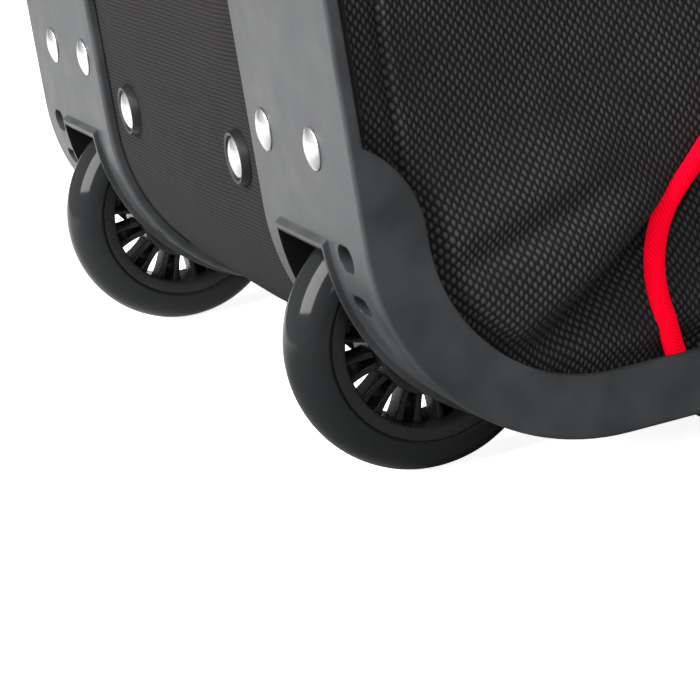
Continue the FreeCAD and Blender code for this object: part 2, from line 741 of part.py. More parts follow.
def skid_rail():
    """Runner under the right-hand side, level with the wheels' tread, with sloped ends."""
    x0, x1 = AXLE_X + RAIL_START, FAR_X - HANDLE_CORNER_RADIUS - RAIL_END_GAP
    step_x = AXLE_X + HOUSING_RUN + FIT_GAP
    top = BOTTOM_Z + RECESS
    points = [
        V(x0, 0, BOTTOM_Z),
        V(x0 + RAIL_NOSE, 0, 0),
        V(x1 - 2 * RAIL_NOSE, 0, 0),
        V(x1, 0, top - 4),
        V(x1, 0, top),
        V(step_x, 0, top),
        V(step_x, 0, BOTTOM_Z),
    ]
    rail = polygon(points, V(0, RAIL_WIDTH, 0))
    rail.translate(V(0, RAIL_Y - RAIL_WIDTH / 2, 0))
    rail = cut_screw_holes(rail, SCREW_RADIUS + RIVET_HOLE_GAP)
    return rail.cut([cylinder_z(x, abs(y), SCREW_HEAD + 0.3, -1, SCREW_SEAT) for x, y in screw_places()])


def rail_screws():
    """Pan-head screws up through rails, fabric and base board."""
    found = []
    for x, y in screw_places():
        head = cylinder_z(x, y, SCREW_HEAD, SCREW_SEAT - 2.4, SCREW_SEAT)
        shank = cylinder_z(x, y, SCREW_RADIUS, SCREW_SEAT - 1, FLOOR_Z + BOARD)
        found.append(union([head, shank]))
    return group(found)


# ---------------------------------------------------------------- fabric walls


def well_cutters():
    """Both wheel wells and the ends of their bolts, with a fitting gap, for cutting round them."""
    low, high = WHEEL_Y - WELL_OUTER_FACE - FIT_GAP, WHEEL_Y + WELL_OUTER_FACE + FIT_GAP
    drum = cylinder_y(AXLE_X, AXLE_Z, WELL_RADIUS + WELL_WALL + FIT_GAP, low, high)
    bolt = cylinder_y(AXLE_X, AXLE_Z, NUT_ACROSS * 0.7, low - BOLT_TAIL - 1, high + BOLT_HEAD_HEIGHT + 1)
    return [drum, bolt, mirrored(drum), mirrored(bolt)]


def base_wrap():
    """Ribbed base fabric: floor, both rounded ends and the wheel end's lower wall."""
    top = WRAP_RISE_WHEEL_END
    outer = bag_area(RECESS, top, -SIDE_INNER_Y, SIDE_INNER_Y)
    inner = bag_area(RECESS + FABRIC, top + 1, -SIDE_INNER_Y - 1, SIDE_INNER_Y + 1)
    wrap = outer.cut(inner)
    above = box(CORNER_X, FAR_X, -HOUSING_OUTER_Y, HOUSING_OUTER_Y, WRAP_RISE_HANDLE_END, top + 1)
    wrap = wrap.cut([above] + well_cutters())
    return cut_guard_holes(cut_screw_holes(cut_rivet_holes(wrap), SCREW_RADIUS + RIVET_HOLE_GAP))


def side_panel():
    """Right-hand long wall, up to the zip tape and the lid's hinge, with holes for the eyelets."""
    wall = bag_area(RECESS, WALL_TOP, SIDE_INNER_Y, SIDE_OUTER_Y)
    zip_stop = box(END_X, ZIP_START - FIT_GAP, SIDE_INNER_Y, SIDE_OUTER_Y, WALL_TOP - 1, LID_Z - FIT_GAP)
    wall = union([wall, zip_stop])
    barrel = EYELET_HOLE + EYELET_LIP
    return wall.cut(
        [cylinder_y(x, EYELET_Z, barrel, SIDE_INNER_Y - 1, SIDE_OUTER_Y + 1) for x in EYELET_X]
    )


def wheel_end_panel():
    """Upper wall of the wheel end, from the base wrap to the lid's hinge."""
    return box(END_X, END_X + FABRIC, -SIDE_INNER_Y, SIDE_INNER_Y, WRAP_RISE_WHEEL_END, LID_Z - FIT_GAP)


def handle_end_panel():
    """Upper wall of the handle end, up to the zip tape."""
    x0, x1 = HANDLE_END_X - FABRIC, HANDLE_END_X
    wall = box(x0, x1, -SIDE_INNER_Y, SIDE_INNER_Y, WRAP_RISE_HANDLE_END, WALL_TOP)
    holes = [cylinder_x(y, z, TOW_RIVET + 0.1, x0 - 1, x1 + 1) for y, z in tow_rivet_places()]
    return cut_guard_holes(wall.cut(holes))


def lid_panel():
    """Top of the lid."""
    return box(END_X, HANDLE_END_X, -SIDE_OUTER_Y, SIDE_OUTER_Y, LID_Z, LID_TOP)


ZIP_START = END_X + FABRIC + 6.0


def lid_gusset():
    """Skirt strips under the lid's two long edges and its free end."""
    long_sides = [
        box(ZIP_START, HANDLE_END_X, min(s * SIDE_INNER_Y, s * SIDE_OUTER_Y),
            max(s * SIDE_INNER_Y, s * SIDE_OUTER_Y), SKIRT_FOOT, LID_Z)
        for s in (-1, 1)
    ]
    end = box(HANDLE_END_X - FABRIC, HANDLE_END_X, -SIDE_INNER_Y, SIDE_INNER_Y, SKIRT_FOOT, LID_Z)
    return group(long_sides + [end])


def zip_half(way):
    """Tape and coil on one side of the zip: way is +1 for the lid's half and -1 for the bag's."""
    coil = sorted(ZIP_Z + way * h for h in (COIL_GAP / 2, COIL_GAP / 2 + COIL_HEIGHT))
    tape = sorted(ZIP_Z + way * h for h in (COIL_GAP / 2 + COIL_HEIGHT, TAPE_WIDTH))
    edge = (FABRIC - TAPE_THICKNESS) / 2
    found = []
    for s in (-1, 1):
        a, b = sorted((s * SIDE_INNER_Y, s * SIDE_OUTER_Y))
        strip = box(ZIP_START, HANDLE_END_X, a + edge, b - edge, *tape)
        found.append(union([strip, box(ZIP_START, HANDLE_END_X, a, b, *coil)]))
    x0, x1 = HANDLE_END_X - FABRIC, HANDLE_END_X
    strip = box(x0 + edge, x1 - edge, -SIDE_INNER_Y, SIDE_INNER_Y, *tape)
    found.append(union([strip, box(x0, x1, -SIDE_INNER_Y, SIDE_INNER_Y, *coil)]))
    return group(found)


SLIDER_FRONT = SIDE_OUTER_Y + SLIDER_PLAY
SLIDER_BACK = SIDE_INNER_Y - SLIDER_PLAY
PULL_PIN_Y = SLIDER_FRONT + SLIDER_PLATE + PULL_PIN_RADIUS + 1.6


def zip_slider(way):
    """Slider on the left side: two plates, the post between the coils and the pull's bridge."""
    x0, x1 = sorted((way * 0.6, way * (0.6 + SLIDER_LENGTH)))
    z0, z1 = ZIP_Z - SLIDER_HEIGHT / 2, ZIP_Z + SLIDER_HEIGHT / 2
    front = box(x0, x1, -SLIDER_FRONT - SLIDER_PLATE, -SLIDER_FRONT, z0, z1)
    back = box(x0, x1, -SLIDER_BACK, -SLIDER_BACK + SLIDER_PLATE, z0, z1)
    post_z = COIL_GAP / 2 - 0.25
    tip0, tip1 = sorted((way * 0.6, way * 4.6))
    post = box(tip0, tip1, -SLIDER_FRONT, -SLIDER_BACK, ZIP_Z - post_z, ZIP_Z + post_z)
    middle = (x0 + x1) / 2
    leg_y = (-PULL_PIN_Y - PULL_PIN_RADIUS - 0.6, -SLIDER_FRONT - SLIDER_PLATE)
    legs = [
        box(middle + s * 3.6 - 0.8, middle + s * 3.6 + 0.8, *leg_y, ZIP_Z - 2.2, ZIP_Z + 2.2)
        for s in (-1, 1)
    ]
    pin = cylinder_x(-PULL_PIN_Y, ZIP_Z, PULL_PIN_RADIUS, middle - 3.6, middle + 3.6)
    return union([front, back, post, pin] + legs)


def zip_pull(way):
    """Pull tab that hangs from a slider's pin."""
    middle = way * (0.6 + SLIDER_LENGTH / 2)
    y0, y1 = -PULL_PIN_Y - PULL_THICKNESS / 2, -PULL_PIN_Y + PULL_THICKNESS / 2
    eye_radius = PULL_PIN_RADIUS + 1.3
    eye = cylinder_x(-PULL_PIN_Y, ZIP_Z, eye_radius, middle - 2.2, middle + 2.2)
    neck = box(middle - 2.2, middle + 2.2, y0, y1, ZIP_Z - 7, ZIP_Z - 1)
    tab = box(middle - PULL_WIDTH / 2, middle + PULL_WIDTH / 2, y0, y1, ZIP_Z - PULL_LENGTH, ZIP_Z - 6)
    window = box(middle - 2.4, middle + 2.4, y0 - 1, y1 + 1, ZIP_Z - PULL_LENGTH + 4, ZIP_Z - 16)
    body = union([eye, neck, tab]).cut(window)
    hole = cylinder_x(-PULL_PIN_Y, ZIP_Z, PULL_PIN_RADIUS + 0.15, middle - 9, middle + 9)
    return body.cut(hole)


# ---------------------------------------------------------------- piping

SIDE_PIPING_Y = SIDE_OUTER_Y + FIT_GAP + PIPING_RADIUS
# (run from the axle, rise above the axle) and the bend at each inner point of the wheel-end sweep
SWEEP = [(61.5, -10.0), (54.0, 14.0), (62.0, 37.0), (110.0, 84.0), (190.0, 112.0)]
SWEEP_BENDS = [26.0, 26.0, 90.0]
PIPING_END_RUN = 800.0
PIPING_END_BEND = 60.0


def side_piping():
    """Red welt on the right-hand wall: up from the guard, along the wall, and down at the far end."""
    start = [V(AXLE_X + run, SIDE_PIPING_Y, AXLE_Z + rise) for run, rise in SWEEP]
    foot = BOTTOM_Z + BAND_WIDTH + PIPING_RADIUS / 2
    start[0] = V(start[0].x, SIDE_PIPING_Y, foot)
    level = start[-1].z
    turn = V(AXLE_X + PIPING_END_RUN - 60, SIDE_PIPING_Y, level)
    end = V(AXLE_X + PIPING_END_RUN, SIDE_PIPING_Y, foot)
    return pipe(start + [turn, end], SWEEP_BENDS + [260.0, PIPING_END_BEND], PIPING_RADIUS)


def lid_piping():
    """Welt along the lid's two long edges and round its free end."""
    z = LID_TOP + FIT_GAP + LID_PIPING_RADIUS
    x0, x1 = END_X + 12, HANDLE_END_X - LID_PIPING_INSET
    y = SIDE_OUTER_Y - LID_PIPING_INSET
    points = [V(x0, -y, z), V(x1, -y, z), V(x1, y, z), V(x0, y, z)]
    return pipe(points, [LID_PIPING_BEND] * 2, LID_PIPING_RADIUS)


# ---------------------------------------------------------------- handles

STRAP_Y = SIDE_OUTER_Y + FIT_GAP
CARRY_Y = STRAP_Y + STRAP_THICKNESS + 0.3
CARRY_MIDDLE_Y = CARRY_Y + CARRY_THICKNESS / 2


def webbing():
    """Straps sewn up the right-hand wall, which the carry handle hangs from."""
    return group(
        [
            box(s * STRAP_X - STRAP_WIDTH / 2, s * STRAP_X + STRAP_WIDTH / 2, STRAP_Y,
                STRAP_Y + STRAP_THICKNESS, STRAP_FOOT_Z, CARRY_HINGE_Z + 4)
            for s in (-1, 1)
        ]
    )


def carry_outline(inset):
    """Edges of the hanging loop's outline, drawn in by inset from its outer edge."""
    half = STRAP_X + STRAP_WIDTH / 2 - inset
    low = CARRY_HINGE_Z - CARRY_DROP + inset
    bend = CARRY_BEND + STRAP_WIDTH - inset
    centre_x, centre_z = half - bend, low + bend
    top = CARRY_HINGE_Z + (0 if inset == 0 else 1)
    return [
        line(-half, top, -half, centre_z),
        arc(-centre_x, centre_z, bend, 180, 270),
        line(-centre_x, low, centre_x, low),
        arc(centre_x, centre_z, bend, 270, 360),
        line(half, centre_z, half, top),
        line(half, top, -half, top),
    ]


def carry_loop():
    """Webbing loop of the right-hand carry handle, hanging down."""
    y0, y1 = CARRY_Y, CARRY_Y + CARRY_THICKNESS
    loop = plate_xz(carry_outline(0), y0, y1).cut(plate_xz(carry_outline(STRAP_WIDTH), y0 - 1, y1 + 1))
    hems = [
        cylinder_x(CARRY_MIDDLE_Y, CARRY_HINGE_Z, CARRY_THICKNESS / 2, x - STRAP_WIDTH / 2, x + STRAP_WIDTH / 2)
        for x in (-STRAP_X, STRAP_X)
    ]
    return union([loop] + hems)


def carry_grip():
    """Padded wrap round the middle of the right-hand loop, in two halves closed face to face."""
    z = CARRY_HINGE_Z - CARRY_DROP + STRAP_WIDTH / 2
    half_z = STRAP_WIDTH / 2 + GRIP_OVERHANG
    y0, y1 = SIDE_OUTER_Y + 0.4, CARRY_MIDDLE_Y + GRIP_PAD
    pad = box(-GRIP_LENGTH / 2, GRIP_LENGTH / 2, y0, y1, z - half_z, z + half_z)
    rounding = (y1 - y0) * 0.4
    pad = pad.makeFillet(rounding, [e for e in pad.Edges if e.BoundBox.XLength > GRIP_LENGTH - 1])
    strip = box(-GRIP_LENGTH, GRIP_LENGTH, CARRY_Y, CARRY_Y + CARRY_THICKNESS, z - STRAP_WIDTH / 2, z + STRAP_WIDTH / 2)
    return pad.cut(strip)


def tow_bracket():
    """Plate on the handle end with two ears for the tow handle's pin."""
    x0 = HANDLE_END_X + FIT_GAP
    half = TOW_WIDTH / 2 + EAR_GAP + TOW_EAR
    plate = box(x0, x0 + TOW_PLATE, -half, half, TOW_Z - TOW_PLATE_HEIGHT / 2, TOW_Z + TOW_PLATE_HEIGHT / 2)
    ears = []
    for s in (-1, 1):
        a, b = sorted((s * (half - TOW_EAR), s * half))
        arm = box(x0, TOW_X, a, b, TOW_Z - 10, TOW_Z + 10)
        ears += [arm, cylinder_y(TOW_X, TOW_Z, 10, a, b)]
    body = union([plate] + ears)
    body = body.cut(cylinder_y(TOW_X, TOW_Z, TOW_PIN_RADIUS, -half - 1, half + 1))
    return body.cut([cylinder_x(y, z, TOW_RIVET + 0.1, x0 - 1, x0 + 9) for y, z in tow_rivet_places()])


TOW_RIVET = 2.4


def tow_rivet_places():
    """(y, z) of the four rivets of the tow handle's plate."""
    return [(sy * 40.0, TOW_Z + sz * 15.0) for sy in (-1, 1) for sz in (-1, 1)]


def tow_rivets():
    """Rivets of the tow handle's plate, with their tails inside the bag."""
    seat = HANDLE_END_X + FIT_GAP + TOW_PLATE
    length = TOW_PLATE + FIT_GAP + FABRIC
    found = []
    for y, z in tow_rivet_places():
        head = cylinder_x(y, z, 4.8, seat, seat + 1.6)
        shank = cylinder_x(y, z, TOW_RIVET, seat - length - 1.5, seat + 1)
        tail = cylinder_x(y, z, 4.5, seat - length - 1.5, seat - length)
        found.append(union([head, shank, tail]))
    return group(found)


def tow_bail():
    """Moulded bail: two arms on the pin and the cross bar under the grip."""
    half = TOW_WIDTH / 2
    foot = TOW_Z - TOW_DROP
    thick = TOW_GRIP_RADIUS - 5.0
    parts = []
    for s in (-1, 1):
        a, b = sorted((s * (half - TOW_ARM), s * half))
        parts.append(box(TOW_X - thick, TOW_X + thick, a, b, foot, TOW_Z))
        parts.append(cylinder_y(TOW_X, TOW_Z, thick, a, b))
    parts.append(cylinder_y(TOW_X, foot, thick, -half, half))
    bail = union(parts)
    return bail.cut(cylinder_y(TOW_X, TOW_Z, TOW_PIN_RADIUS + BOLT_CLEARANCE, -half - 1, half + 1))


def tow_grip():
    """Soft sleeve over the cross bar."""
    half = TOW_WIDTH / 2 - TOW_ARM - 0.4
    foot = TOW_Z - TOW_DROP
    sleeve = cylinder_y(TOW_X, foot, TOW_GRIP_RADIUS, -half, half)
    return sleeve.cut(cylinder_y(TOW_X, foot, TOW_GRIP_RADIUS - 5.0, -half - 1, half + 1))


def tow_pin():
    """Steel pin through both ears."""
    half = TOW_WIDTH / 2 + EAR_GAP + TOW_EAR
    pin = cylinder_y(TOW_X, TOW_Z, TOW_PIN_RADIUS, -half, half)
    heads = [
        cylinder_y(TOW_X, TOW_Z, TOW_PIN_RADIUS + 2.5, -half - 2, -half),
        cylinder_y(TOW_X, TOW_Z, TOW_PIN_RADIUS + 2.5, half, half + 2),
    ]
    return union([pin] + heads)


def grab_strap():
    """Haul loop sewn across the wheel end, bowed out for the fingers."""
    back = END_X - FIT_GAP
    out = END_X - GRAB_BOW
    half, knee = GRAB_HALF_LENGTH, GRAB_HALF_LENGTH - GRAB_PAD
    bend = knee - 26
    t = STRAP_THICKNESS
    outline = [(back, -half), (back, -knee), (out + t, -bend), (out + t, bend), (back, knee), (back, half),
               (back - t, half), (back - t, knee), (out, bend), (out, -bend), (back - t, -knee), (back - t, -half)]
    points = [V(x, y, GRAB_Z - STRAP_WIDTH / 2) for x, y in outline]
    return polygon(points, V(0, 0, STRAP_WIDTH))


# ---------------------------------------------------------------- eyelets and name window


def eyelets():
    """Vent eyelets, rolled over both faces of the long walls."""
    found = []
    for s in (-1, 1):
        for x in EYELET_X:
            barrel = cylinder_y(x, EYELET_Z, EYELET_HOLE + EYELET_LIP, SIDE_INNER_Y - EYELET_LIP, SIDE_OUTER_Y + EYELET_LIP)
            front = cylinder_y(x, EYELET_Z, EYELET_RADIUS, SIDE_OUTER_Y, SIDE_OUTER_Y + EYELET_LIP)
            rear = cylinder_y(x, EYELET_Z, EYELET_RADIUS, SIDE_INNER_Y - EYELET_LIP, SIDE_INNER_Y)
            bore = cylinder_y(x, EYELET_Z, EYELET_HOLE, SIDE_INNER_Y - 9, SIDE_OUTER_Y + 9)
            found.append(on_side(union([barrel, front, rear]).cut(bore), s))
    return group(found)


def name_window():
    """Blank clear window for a name card, on the lid."""
    z = LID_TOP + FIT_GAP
    return box(
        WINDOW_X - WINDOW_LENGTH / 2, WINDOW_X + WINDOW_LENGTH / 2, -WINDOW_WIDTH / 2, WINDOW_WIDTH / 2, z, z + WINDOW_THICKNESS
    )


# ---------------------------------------------------------------- write every piece

PAIRS = {
    "tyre": tyre,
    "wheel_core": core,
    "bearing_outer_races": outer_races,
    "wheel_housing": wheel_housing,
    "corner_guard": corner_guard,
    "skid_rail": skid_rail,
    "side_panel": side_panel,
    "side_piping": side_piping,
    "handle_webbing": webbing,
    "carry_loop": carry_loop,
    "carry_grip": carry_grip,
}
SINGLES = {
    "bearing_inner_races": on_both_sides(inner_races),
    "bearing_balls": on_both_sides(balls),
    "bearing_spacers": on_both_sides(spacer),
    "axle_bolts": on_both_sides(axle_bolt),
    "axle_nuts": on_both_sides(axle_nut),
    "axle_washers": on_both_sides(axle_washers),
    "guard_rivets": guard_rivets,
    "housing_rivets": housing_rivets,
    "panel_rivets": panel_rivets,
    "rivet_collars": rivet_collars,
    "end_board": end_board,
    "cross_brace": cross_brace,
    "base_board": base_board,
    "rail_screws": rail_screws,
    "base_wrap": base_wrap,
    "wheel_end_panel": wheel_end_panel,
    "handle_end_panel": handle_end_panel,
    "lid_panel": lid_panel,
    "lid_gusset": lid_gusset,
    "lid_piping": lid_piping,
    "tow_bracket": tow_bracket,
    "tow_rivets": tow_rivets,
    "tow_bail": tow_bail,
    "tow_grip": tow_grip,
    "tow_pin": tow_pin,
    "grab_strap": grab_strap,
    "vent_eyelets": eyelets,
    "name_window": name_window,
}
ZIP = {
    "zip_chain_bag": lambda: zip_half(-1),
    "zip_chain_lid": lambda: zip_half(1),
    "zip_slider_rear": lambda: zip_slider(-1),
    "zip_slider_front": lambda: zip_slider(1),
    "zip_pull_rear": lambda: zip_pull(-1),
    "zip_pull_front": lambda: zip_pull(1),
}


def write(name, shape):
    """One STEP file, after a look at the solids in it."""
    if not shape.Solids or not all(s.isValid() and s.Volume > 0 for s in shape.Solids):
        raise ValueError(f"{name} isn't made of sound solids")
    shape.exportStep(f"parts/{name}.step")
    print(name, len(shape.Solids), round(shape.Volume))


os.makedirs("parts", exist_ok=True)
for name, make in PAIRS.items():
    shape = make()
    for side, sign in SIDES.items():
        write(f"{name}_{side}", on_side(shape, sign))
for name, make in {**SINGLES, **ZIP}.items():
    write(name, make())
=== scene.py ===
import math

import bmesh
import bpy
import numpy as np
from mathutils import Matrix, Vector


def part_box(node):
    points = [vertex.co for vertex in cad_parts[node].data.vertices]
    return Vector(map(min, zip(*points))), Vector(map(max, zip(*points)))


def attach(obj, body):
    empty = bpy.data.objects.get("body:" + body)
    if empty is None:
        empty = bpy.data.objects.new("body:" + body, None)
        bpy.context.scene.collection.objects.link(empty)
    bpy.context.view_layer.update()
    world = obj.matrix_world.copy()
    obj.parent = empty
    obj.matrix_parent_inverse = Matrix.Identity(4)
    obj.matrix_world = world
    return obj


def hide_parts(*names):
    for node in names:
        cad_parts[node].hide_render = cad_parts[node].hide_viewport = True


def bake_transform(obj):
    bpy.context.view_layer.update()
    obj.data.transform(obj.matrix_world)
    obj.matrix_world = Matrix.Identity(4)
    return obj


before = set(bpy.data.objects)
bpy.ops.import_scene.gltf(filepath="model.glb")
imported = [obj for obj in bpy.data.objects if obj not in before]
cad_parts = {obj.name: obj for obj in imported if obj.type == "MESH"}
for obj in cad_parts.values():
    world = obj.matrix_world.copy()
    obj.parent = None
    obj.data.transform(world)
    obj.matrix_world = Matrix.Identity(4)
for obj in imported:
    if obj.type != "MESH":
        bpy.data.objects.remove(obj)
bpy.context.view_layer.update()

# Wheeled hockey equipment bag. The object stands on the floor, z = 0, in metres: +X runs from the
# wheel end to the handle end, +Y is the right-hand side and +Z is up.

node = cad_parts
scene = bpy.context.scene

# ---------------------------------------------------------------- camera, light and floor
# A long lens low at the wheel end, aimed at the bottom corner and rolled a little. A large soft light
# stands off the wheel end, two weaker ones and a pale sky fill the rest, and the floor is plain and
# pale. The camera sees floor and sky as white; the object is lit by them more dimly.


def aimed(name, data, place, target):
    """An object at a place whose -Z points at a target."""
    thing = bpy.data.objects.new(name, data)
    turn = (Vector(target) - Vector(place)).to_track_quat("-Z", "Y")
    thing.matrix_world = Matrix.Translation(place) @ turn.to_matrix().to_4x4()
    scene.collection.objects.link(thing)
    return thing


lens = bpy.data.cameras.new("camera")
lens.sensor_width = 36.0
lens.lens = 162.9
lens.clip_start = 0.05
camera = bpy.data.objects.new("camera", lens)
scene.collection.objects.link(camera)
camera_right = Vector((0.93035, -0.32840, -0.16306))
camera_up = Vector((0.23298, 0.18611, 0.95450))
camera_back = camera_right.cross(camera_up)
turned = Matrix((camera_right, camera_up, camera_back)).transposed().to_4x4()
camera.matrix_world = Matrix.Translation((-0.7091, -0.9716, 0.2681)) @ turned
scene.camera = camera
scene.view_settings.view_transform = "Standard"


def soft_light(name, place, target, width, watts, tint=(1.0, 1.0, 1.0)):
    """A square studio light."""
    data = bpy.data.lights.new(name, "AREA")
    data.shape = "SQUARE"
    data.size = width
    data.energy = watts
    data.color = tint
    return aimed(name, data, place, target)


soft_light("key", (-2.3, -0.30, 1.45), (-0.44, 0.0, 0.1), 1.5, 98.0, (1.0, 0.99, 0.97))
soft_light("side_fill", (-1.1, -2.6, 1.7), (-0.3, 0.0, 0.15), 1.4, 23.0)
soft_light("back_fill", (2.6, 1.6, 2.0), (0.1, 0.0, 0.2), 1.8, 40.0)


class Nodes:
    """A node tree, with short ways to add nodes to it and join them."""

    def __init__(self, tree):
        self.tree = tree

    def add(self, kind, inputs=None, **settings):
        """A node of that kind; inputs are numbers, colours or sockets by name or number."""
        made = self.tree.nodes.new(kind)
        for key, value in settings.items():
            setattr(made, key, value)
        for key, value in (inputs or {}).items():
            self.feed(made.inputs[key], value)
        return made

    def feed(self, socket, value):
        """Sets a socket, or joins it to another."""
        if isinstance(value, bpy.types.NodeSocket):
            self.tree.links.new(value, socket)
        elif hasattr(value, "__len__") and len(value) == 3 and len(socket.default_value) == 4:
            socket.default_value = (*value, 1.0)
        else:
            socket.default_value = value

    def noise(self, where, scale, detail=3.0, roughness=0.55):
        """Noise in 0 to 1."""
        inputs = {"Vector": where, "Scale": scale, "Detail": detail, "Roughness": roughness}
        return self.add("ShaderNodeTexNoise", inputs).outputs["Fac"]

    def spread(self, value, low, high, to_low=0.0, to_high=1.0):
        """A value carried from one range to another, and held inside it."""
        ends = {"From Min": low, "From Max": high, "To Min": to_low, "To Max": to_high}
        return self.add("ShaderNodeMapRange", {"Value": value, **ends}).outputs["Result"]

    def math(self, how, a, b=0.0):
        """One step of arithmetic."""
        return self.add("ShaderNodeMath", {0: a, 1: b}, operation=how).outputs[0]

    def parts(self, where):
        """The coordinates of a place, by the names X, Y and Z."""
        return self.add("ShaderNodeSeparateXYZ", {0: where}).outputs

    def wave(self, along, length):
        """sin(2 pi along / length)."""
        return self.math("SINE", self.math("MULTIPLY", along, 2 * math.pi / length))

    def ridges(self, along, pitch):
        """|sin(pi along / pitch)|, one rounded ridge for each pitch."""
        return self.math("ABSOLUTE", self.math("SINE", self.math("MULTIPLY", along, math.pi / pitch)))


class Finish(Nodes):
    """A new material, with its Principled shader."""

    def __init__(self, name):
        self.material = bpy.data.materials.new(name)
        self.material.use_nodes = True
        super().__init__(self.material.node_tree)
        self.shader = self.tree.nodes["Principled BSDF"]

    def set(self, **values):
        """Shader inputs by name, with _ for a space."""
        for key, value in values.items():
            self.feed(self.shader.inputs[key.replace("_", " ")], value)

    def object_place(self):
        """Object coordinates."""
        return self.add("ShaderNodeTexCoord").outputs["Object"]

    def cloth_place(self):
        """The piece's own cloth coordinates, in metres."""
        return self.add("ShaderNodeUVMap", uv_map="cloth").outputs[0]

    def mix(self, share, a, b):
        """Colour a, going to b as share goes from 0 to 1."""
        made = self.add("ShaderNodeMix", data_type="RGBA")
        for number, value in ((0, share), (6, a), (7, b)):
            self.feed(made.inputs[number], value)
        return made.outputs[2]

    def bump(self, height, depth, strength):
        """A normal from a height in 0 to 1 that is depth metres deep."""
        inputs = {"Height": height, "Distance": depth, "Strength": strength}
        return self.add("ShaderNodeBump", inputs).outputs["Normal"]


sky = bpy.data.worlds.new("sky")
scene.world = sky
sky.use_nodes = True
sky_nodes = Nodes(sky.node_tree)
backdrop = sky.node_tree.nodes["Background"]
towards = sky_nodes.parts(sky_nodes.add("ShaderNodeTexCoord").outputs["Generated"])["X"]
wheel_wall = sky_nodes.spread(towards, -0.35, -0.95, 0.20, 0.95)
seen = sky_nodes.add("ShaderNodeLightPath").outputs["Is Camera Ray"]
sky_nodes.feed(backdrop.inputs["Color"], (1.0, 1.0, 1.0))
sky_nodes.feed(backdrop.inputs["Strength"], sky_nodes.spread(seen, 0.0, 1.0, wheel_wall, 1.0))

floor_finish = Finish("pale_floor")
in_view = floor_finish.add("ShaderNodeLightPath").outputs["Is Camera Ray"]
crosswise = floor_finish.parts(floor_finish.object_place())["Y"]
far_side = floor_finish.spread(crosswise, -0.05, 0.30)
bounced = floor_finish.mix(far_side, (0.28, 0.28, 0.28), (0.80, 0.80, 0.80))
floor_finish.set(
    Base_Color=floor_finish.mix(in_view, bounced, (0.9, 0.9, 0.9)),
    Roughness=0.85,
    Emission_Color=(1.0, 1.0, 1.0),
    Emission_Strength=floor_finish.math(
        "MAXIMUM",
        floor_finish.math("MULTIPLY", in_view, 0.90),
        floor_finish.math("MULTIPLY", far_side, 0.42),
    ),
)
FLOOR_HALF = 9.0
floor_mesh = bpy.data.meshes.new("floor")
floor_corners = [(x * FLOOR_HALF, y * FLOOR_HALF, 0.0) for x, y in ((-1, -1), (1, -1), (1, 1), (-1, 1))]
floor_mesh.from_pydata(floor_corners, [], [(0, 1, 2, 3)])
floor = bpy.data.objects.new("floor", floor_mesh)
floor_mesh.materials.append(floor_finish.material)
scene.collection.objects.link(floor)

# ---------------------------------------------------------------- wheel treads
# Two black cast polyurethane treads, 80 mm across and round-shouldered, bonded round the cores. The
# surface is glossy from the mould, dulled by fine scuffs round the crown.

MM = 0.001
AXLE_X, _, AXLE_Z = np.mean(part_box("axle_bolts"), axis=0)
WHEEL_Y = np.mean(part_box("tyre_right"), axis=0)[1]
TREAD_CROWN = 12 * MM
TREAD_CENTRE = 28 * MM
TREAD_LIP = 0.5 * MM
CORE_RADIUS = 29.6 * MM
SIDES = {"left": -1, "right": 1}


def grid_faces(rows, columns, wrap_rows, wrap_columns):
    """Four-cornered faces of a grid whose points are numbered along the columns first."""
    i = np.arange(rows if wrap_rows else rows - 1)[:, None]
    j = np.arange(columns if wrap_columns else columns - 1)[None, :]
    i1, j1 = (i + 1) % rows, (j + 1) % columns
    corners = [i * columns + j, i1 * columns + j, i1 * columns + j1, i * columns + j1]
    return np.stack(corners, axis=-1).reshape(-1, 4)


def made_of(name, points, faces, finish, uv=None, smooth=True):
    """A mesh object from points (n, 3) and faces; uv is one (u, v) in metres for each point."""
    mesh = bpy.data.meshes.new(name)
    mesh.from_pydata(np.asarray(points).tolist(), [], [list(face) for face in faces])
    if smooth:
        mesh.shade_smooth()
    if uv is not None:
        corner = np.zeros(len(mesh.loops), dtype=np.int32)
        mesh.loops.foreach_get("vertex_index", corner)
        layer = mesh.uv_layers.new(name="cloth")
        layer.data.foreach_set("uv", np.asarray(uv)[corner].ravel())
    mesh.materials.append(finish.material)
    thing = bpy.data.objects.new(name, mesh)
    scene.collection.objects.link(thing)
    return thing


def outwards(thing):
    """Turns every face of a closed mesh outwards."""
    work = bmesh.new()
    work.from_mesh(thing.data)
    bmesh.ops.recalc_face_normals(work, faces=work.faces[:])
    work.to_mesh(thing.data)
    work.free()
    return thing


def loops_solid(loops, wrap=False):
    """(points, faces) of a solid from closed loops (n, m, 3): joined in turn, capped unless it wraps."""
    rows, columns = loops.shape[:2]
    faces = grid_faces(rows, columns, wrap, True).tolist()
    if not wrap:
        faces.append(list(range(columns)))
        faces.append(list(range((rows - 1) * columns, rows * columns))[::-1])
    return loops.reshape(-1, 3), faces


def joined(parts):
    """(points, faces) of several solids as one mesh."""
    points, faces, start = [], [], 0
    for some_points, some_faces in parts:
        points.append(np.asarray(some_points))
        faces += [[start + i for i in face] for face in some_faces]
        start += len(some_points)
    return np.concatenate(points), faces


def turned_ring(profile, centre, steps=128):
    """A closed (radius, offset) profile turned round a Y axis through centre: x = r cos a, z = r sin a."""
    profile = np.asarray(profile)
    a = np.linspace(0, 2 * np.pi, steps, endpoint=False)[:, None]
    x = centre[0] + profile[None, :, 0] * np.cos(a)
    z = centre[2] + profile[None, :, 0] * np.sin(a)
    y = np.broadcast_to(centre[1] + profile[None, :, 1], x.shape)
    return loops_solid(np.stack([x, y, z], axis=-1), wrap=True)


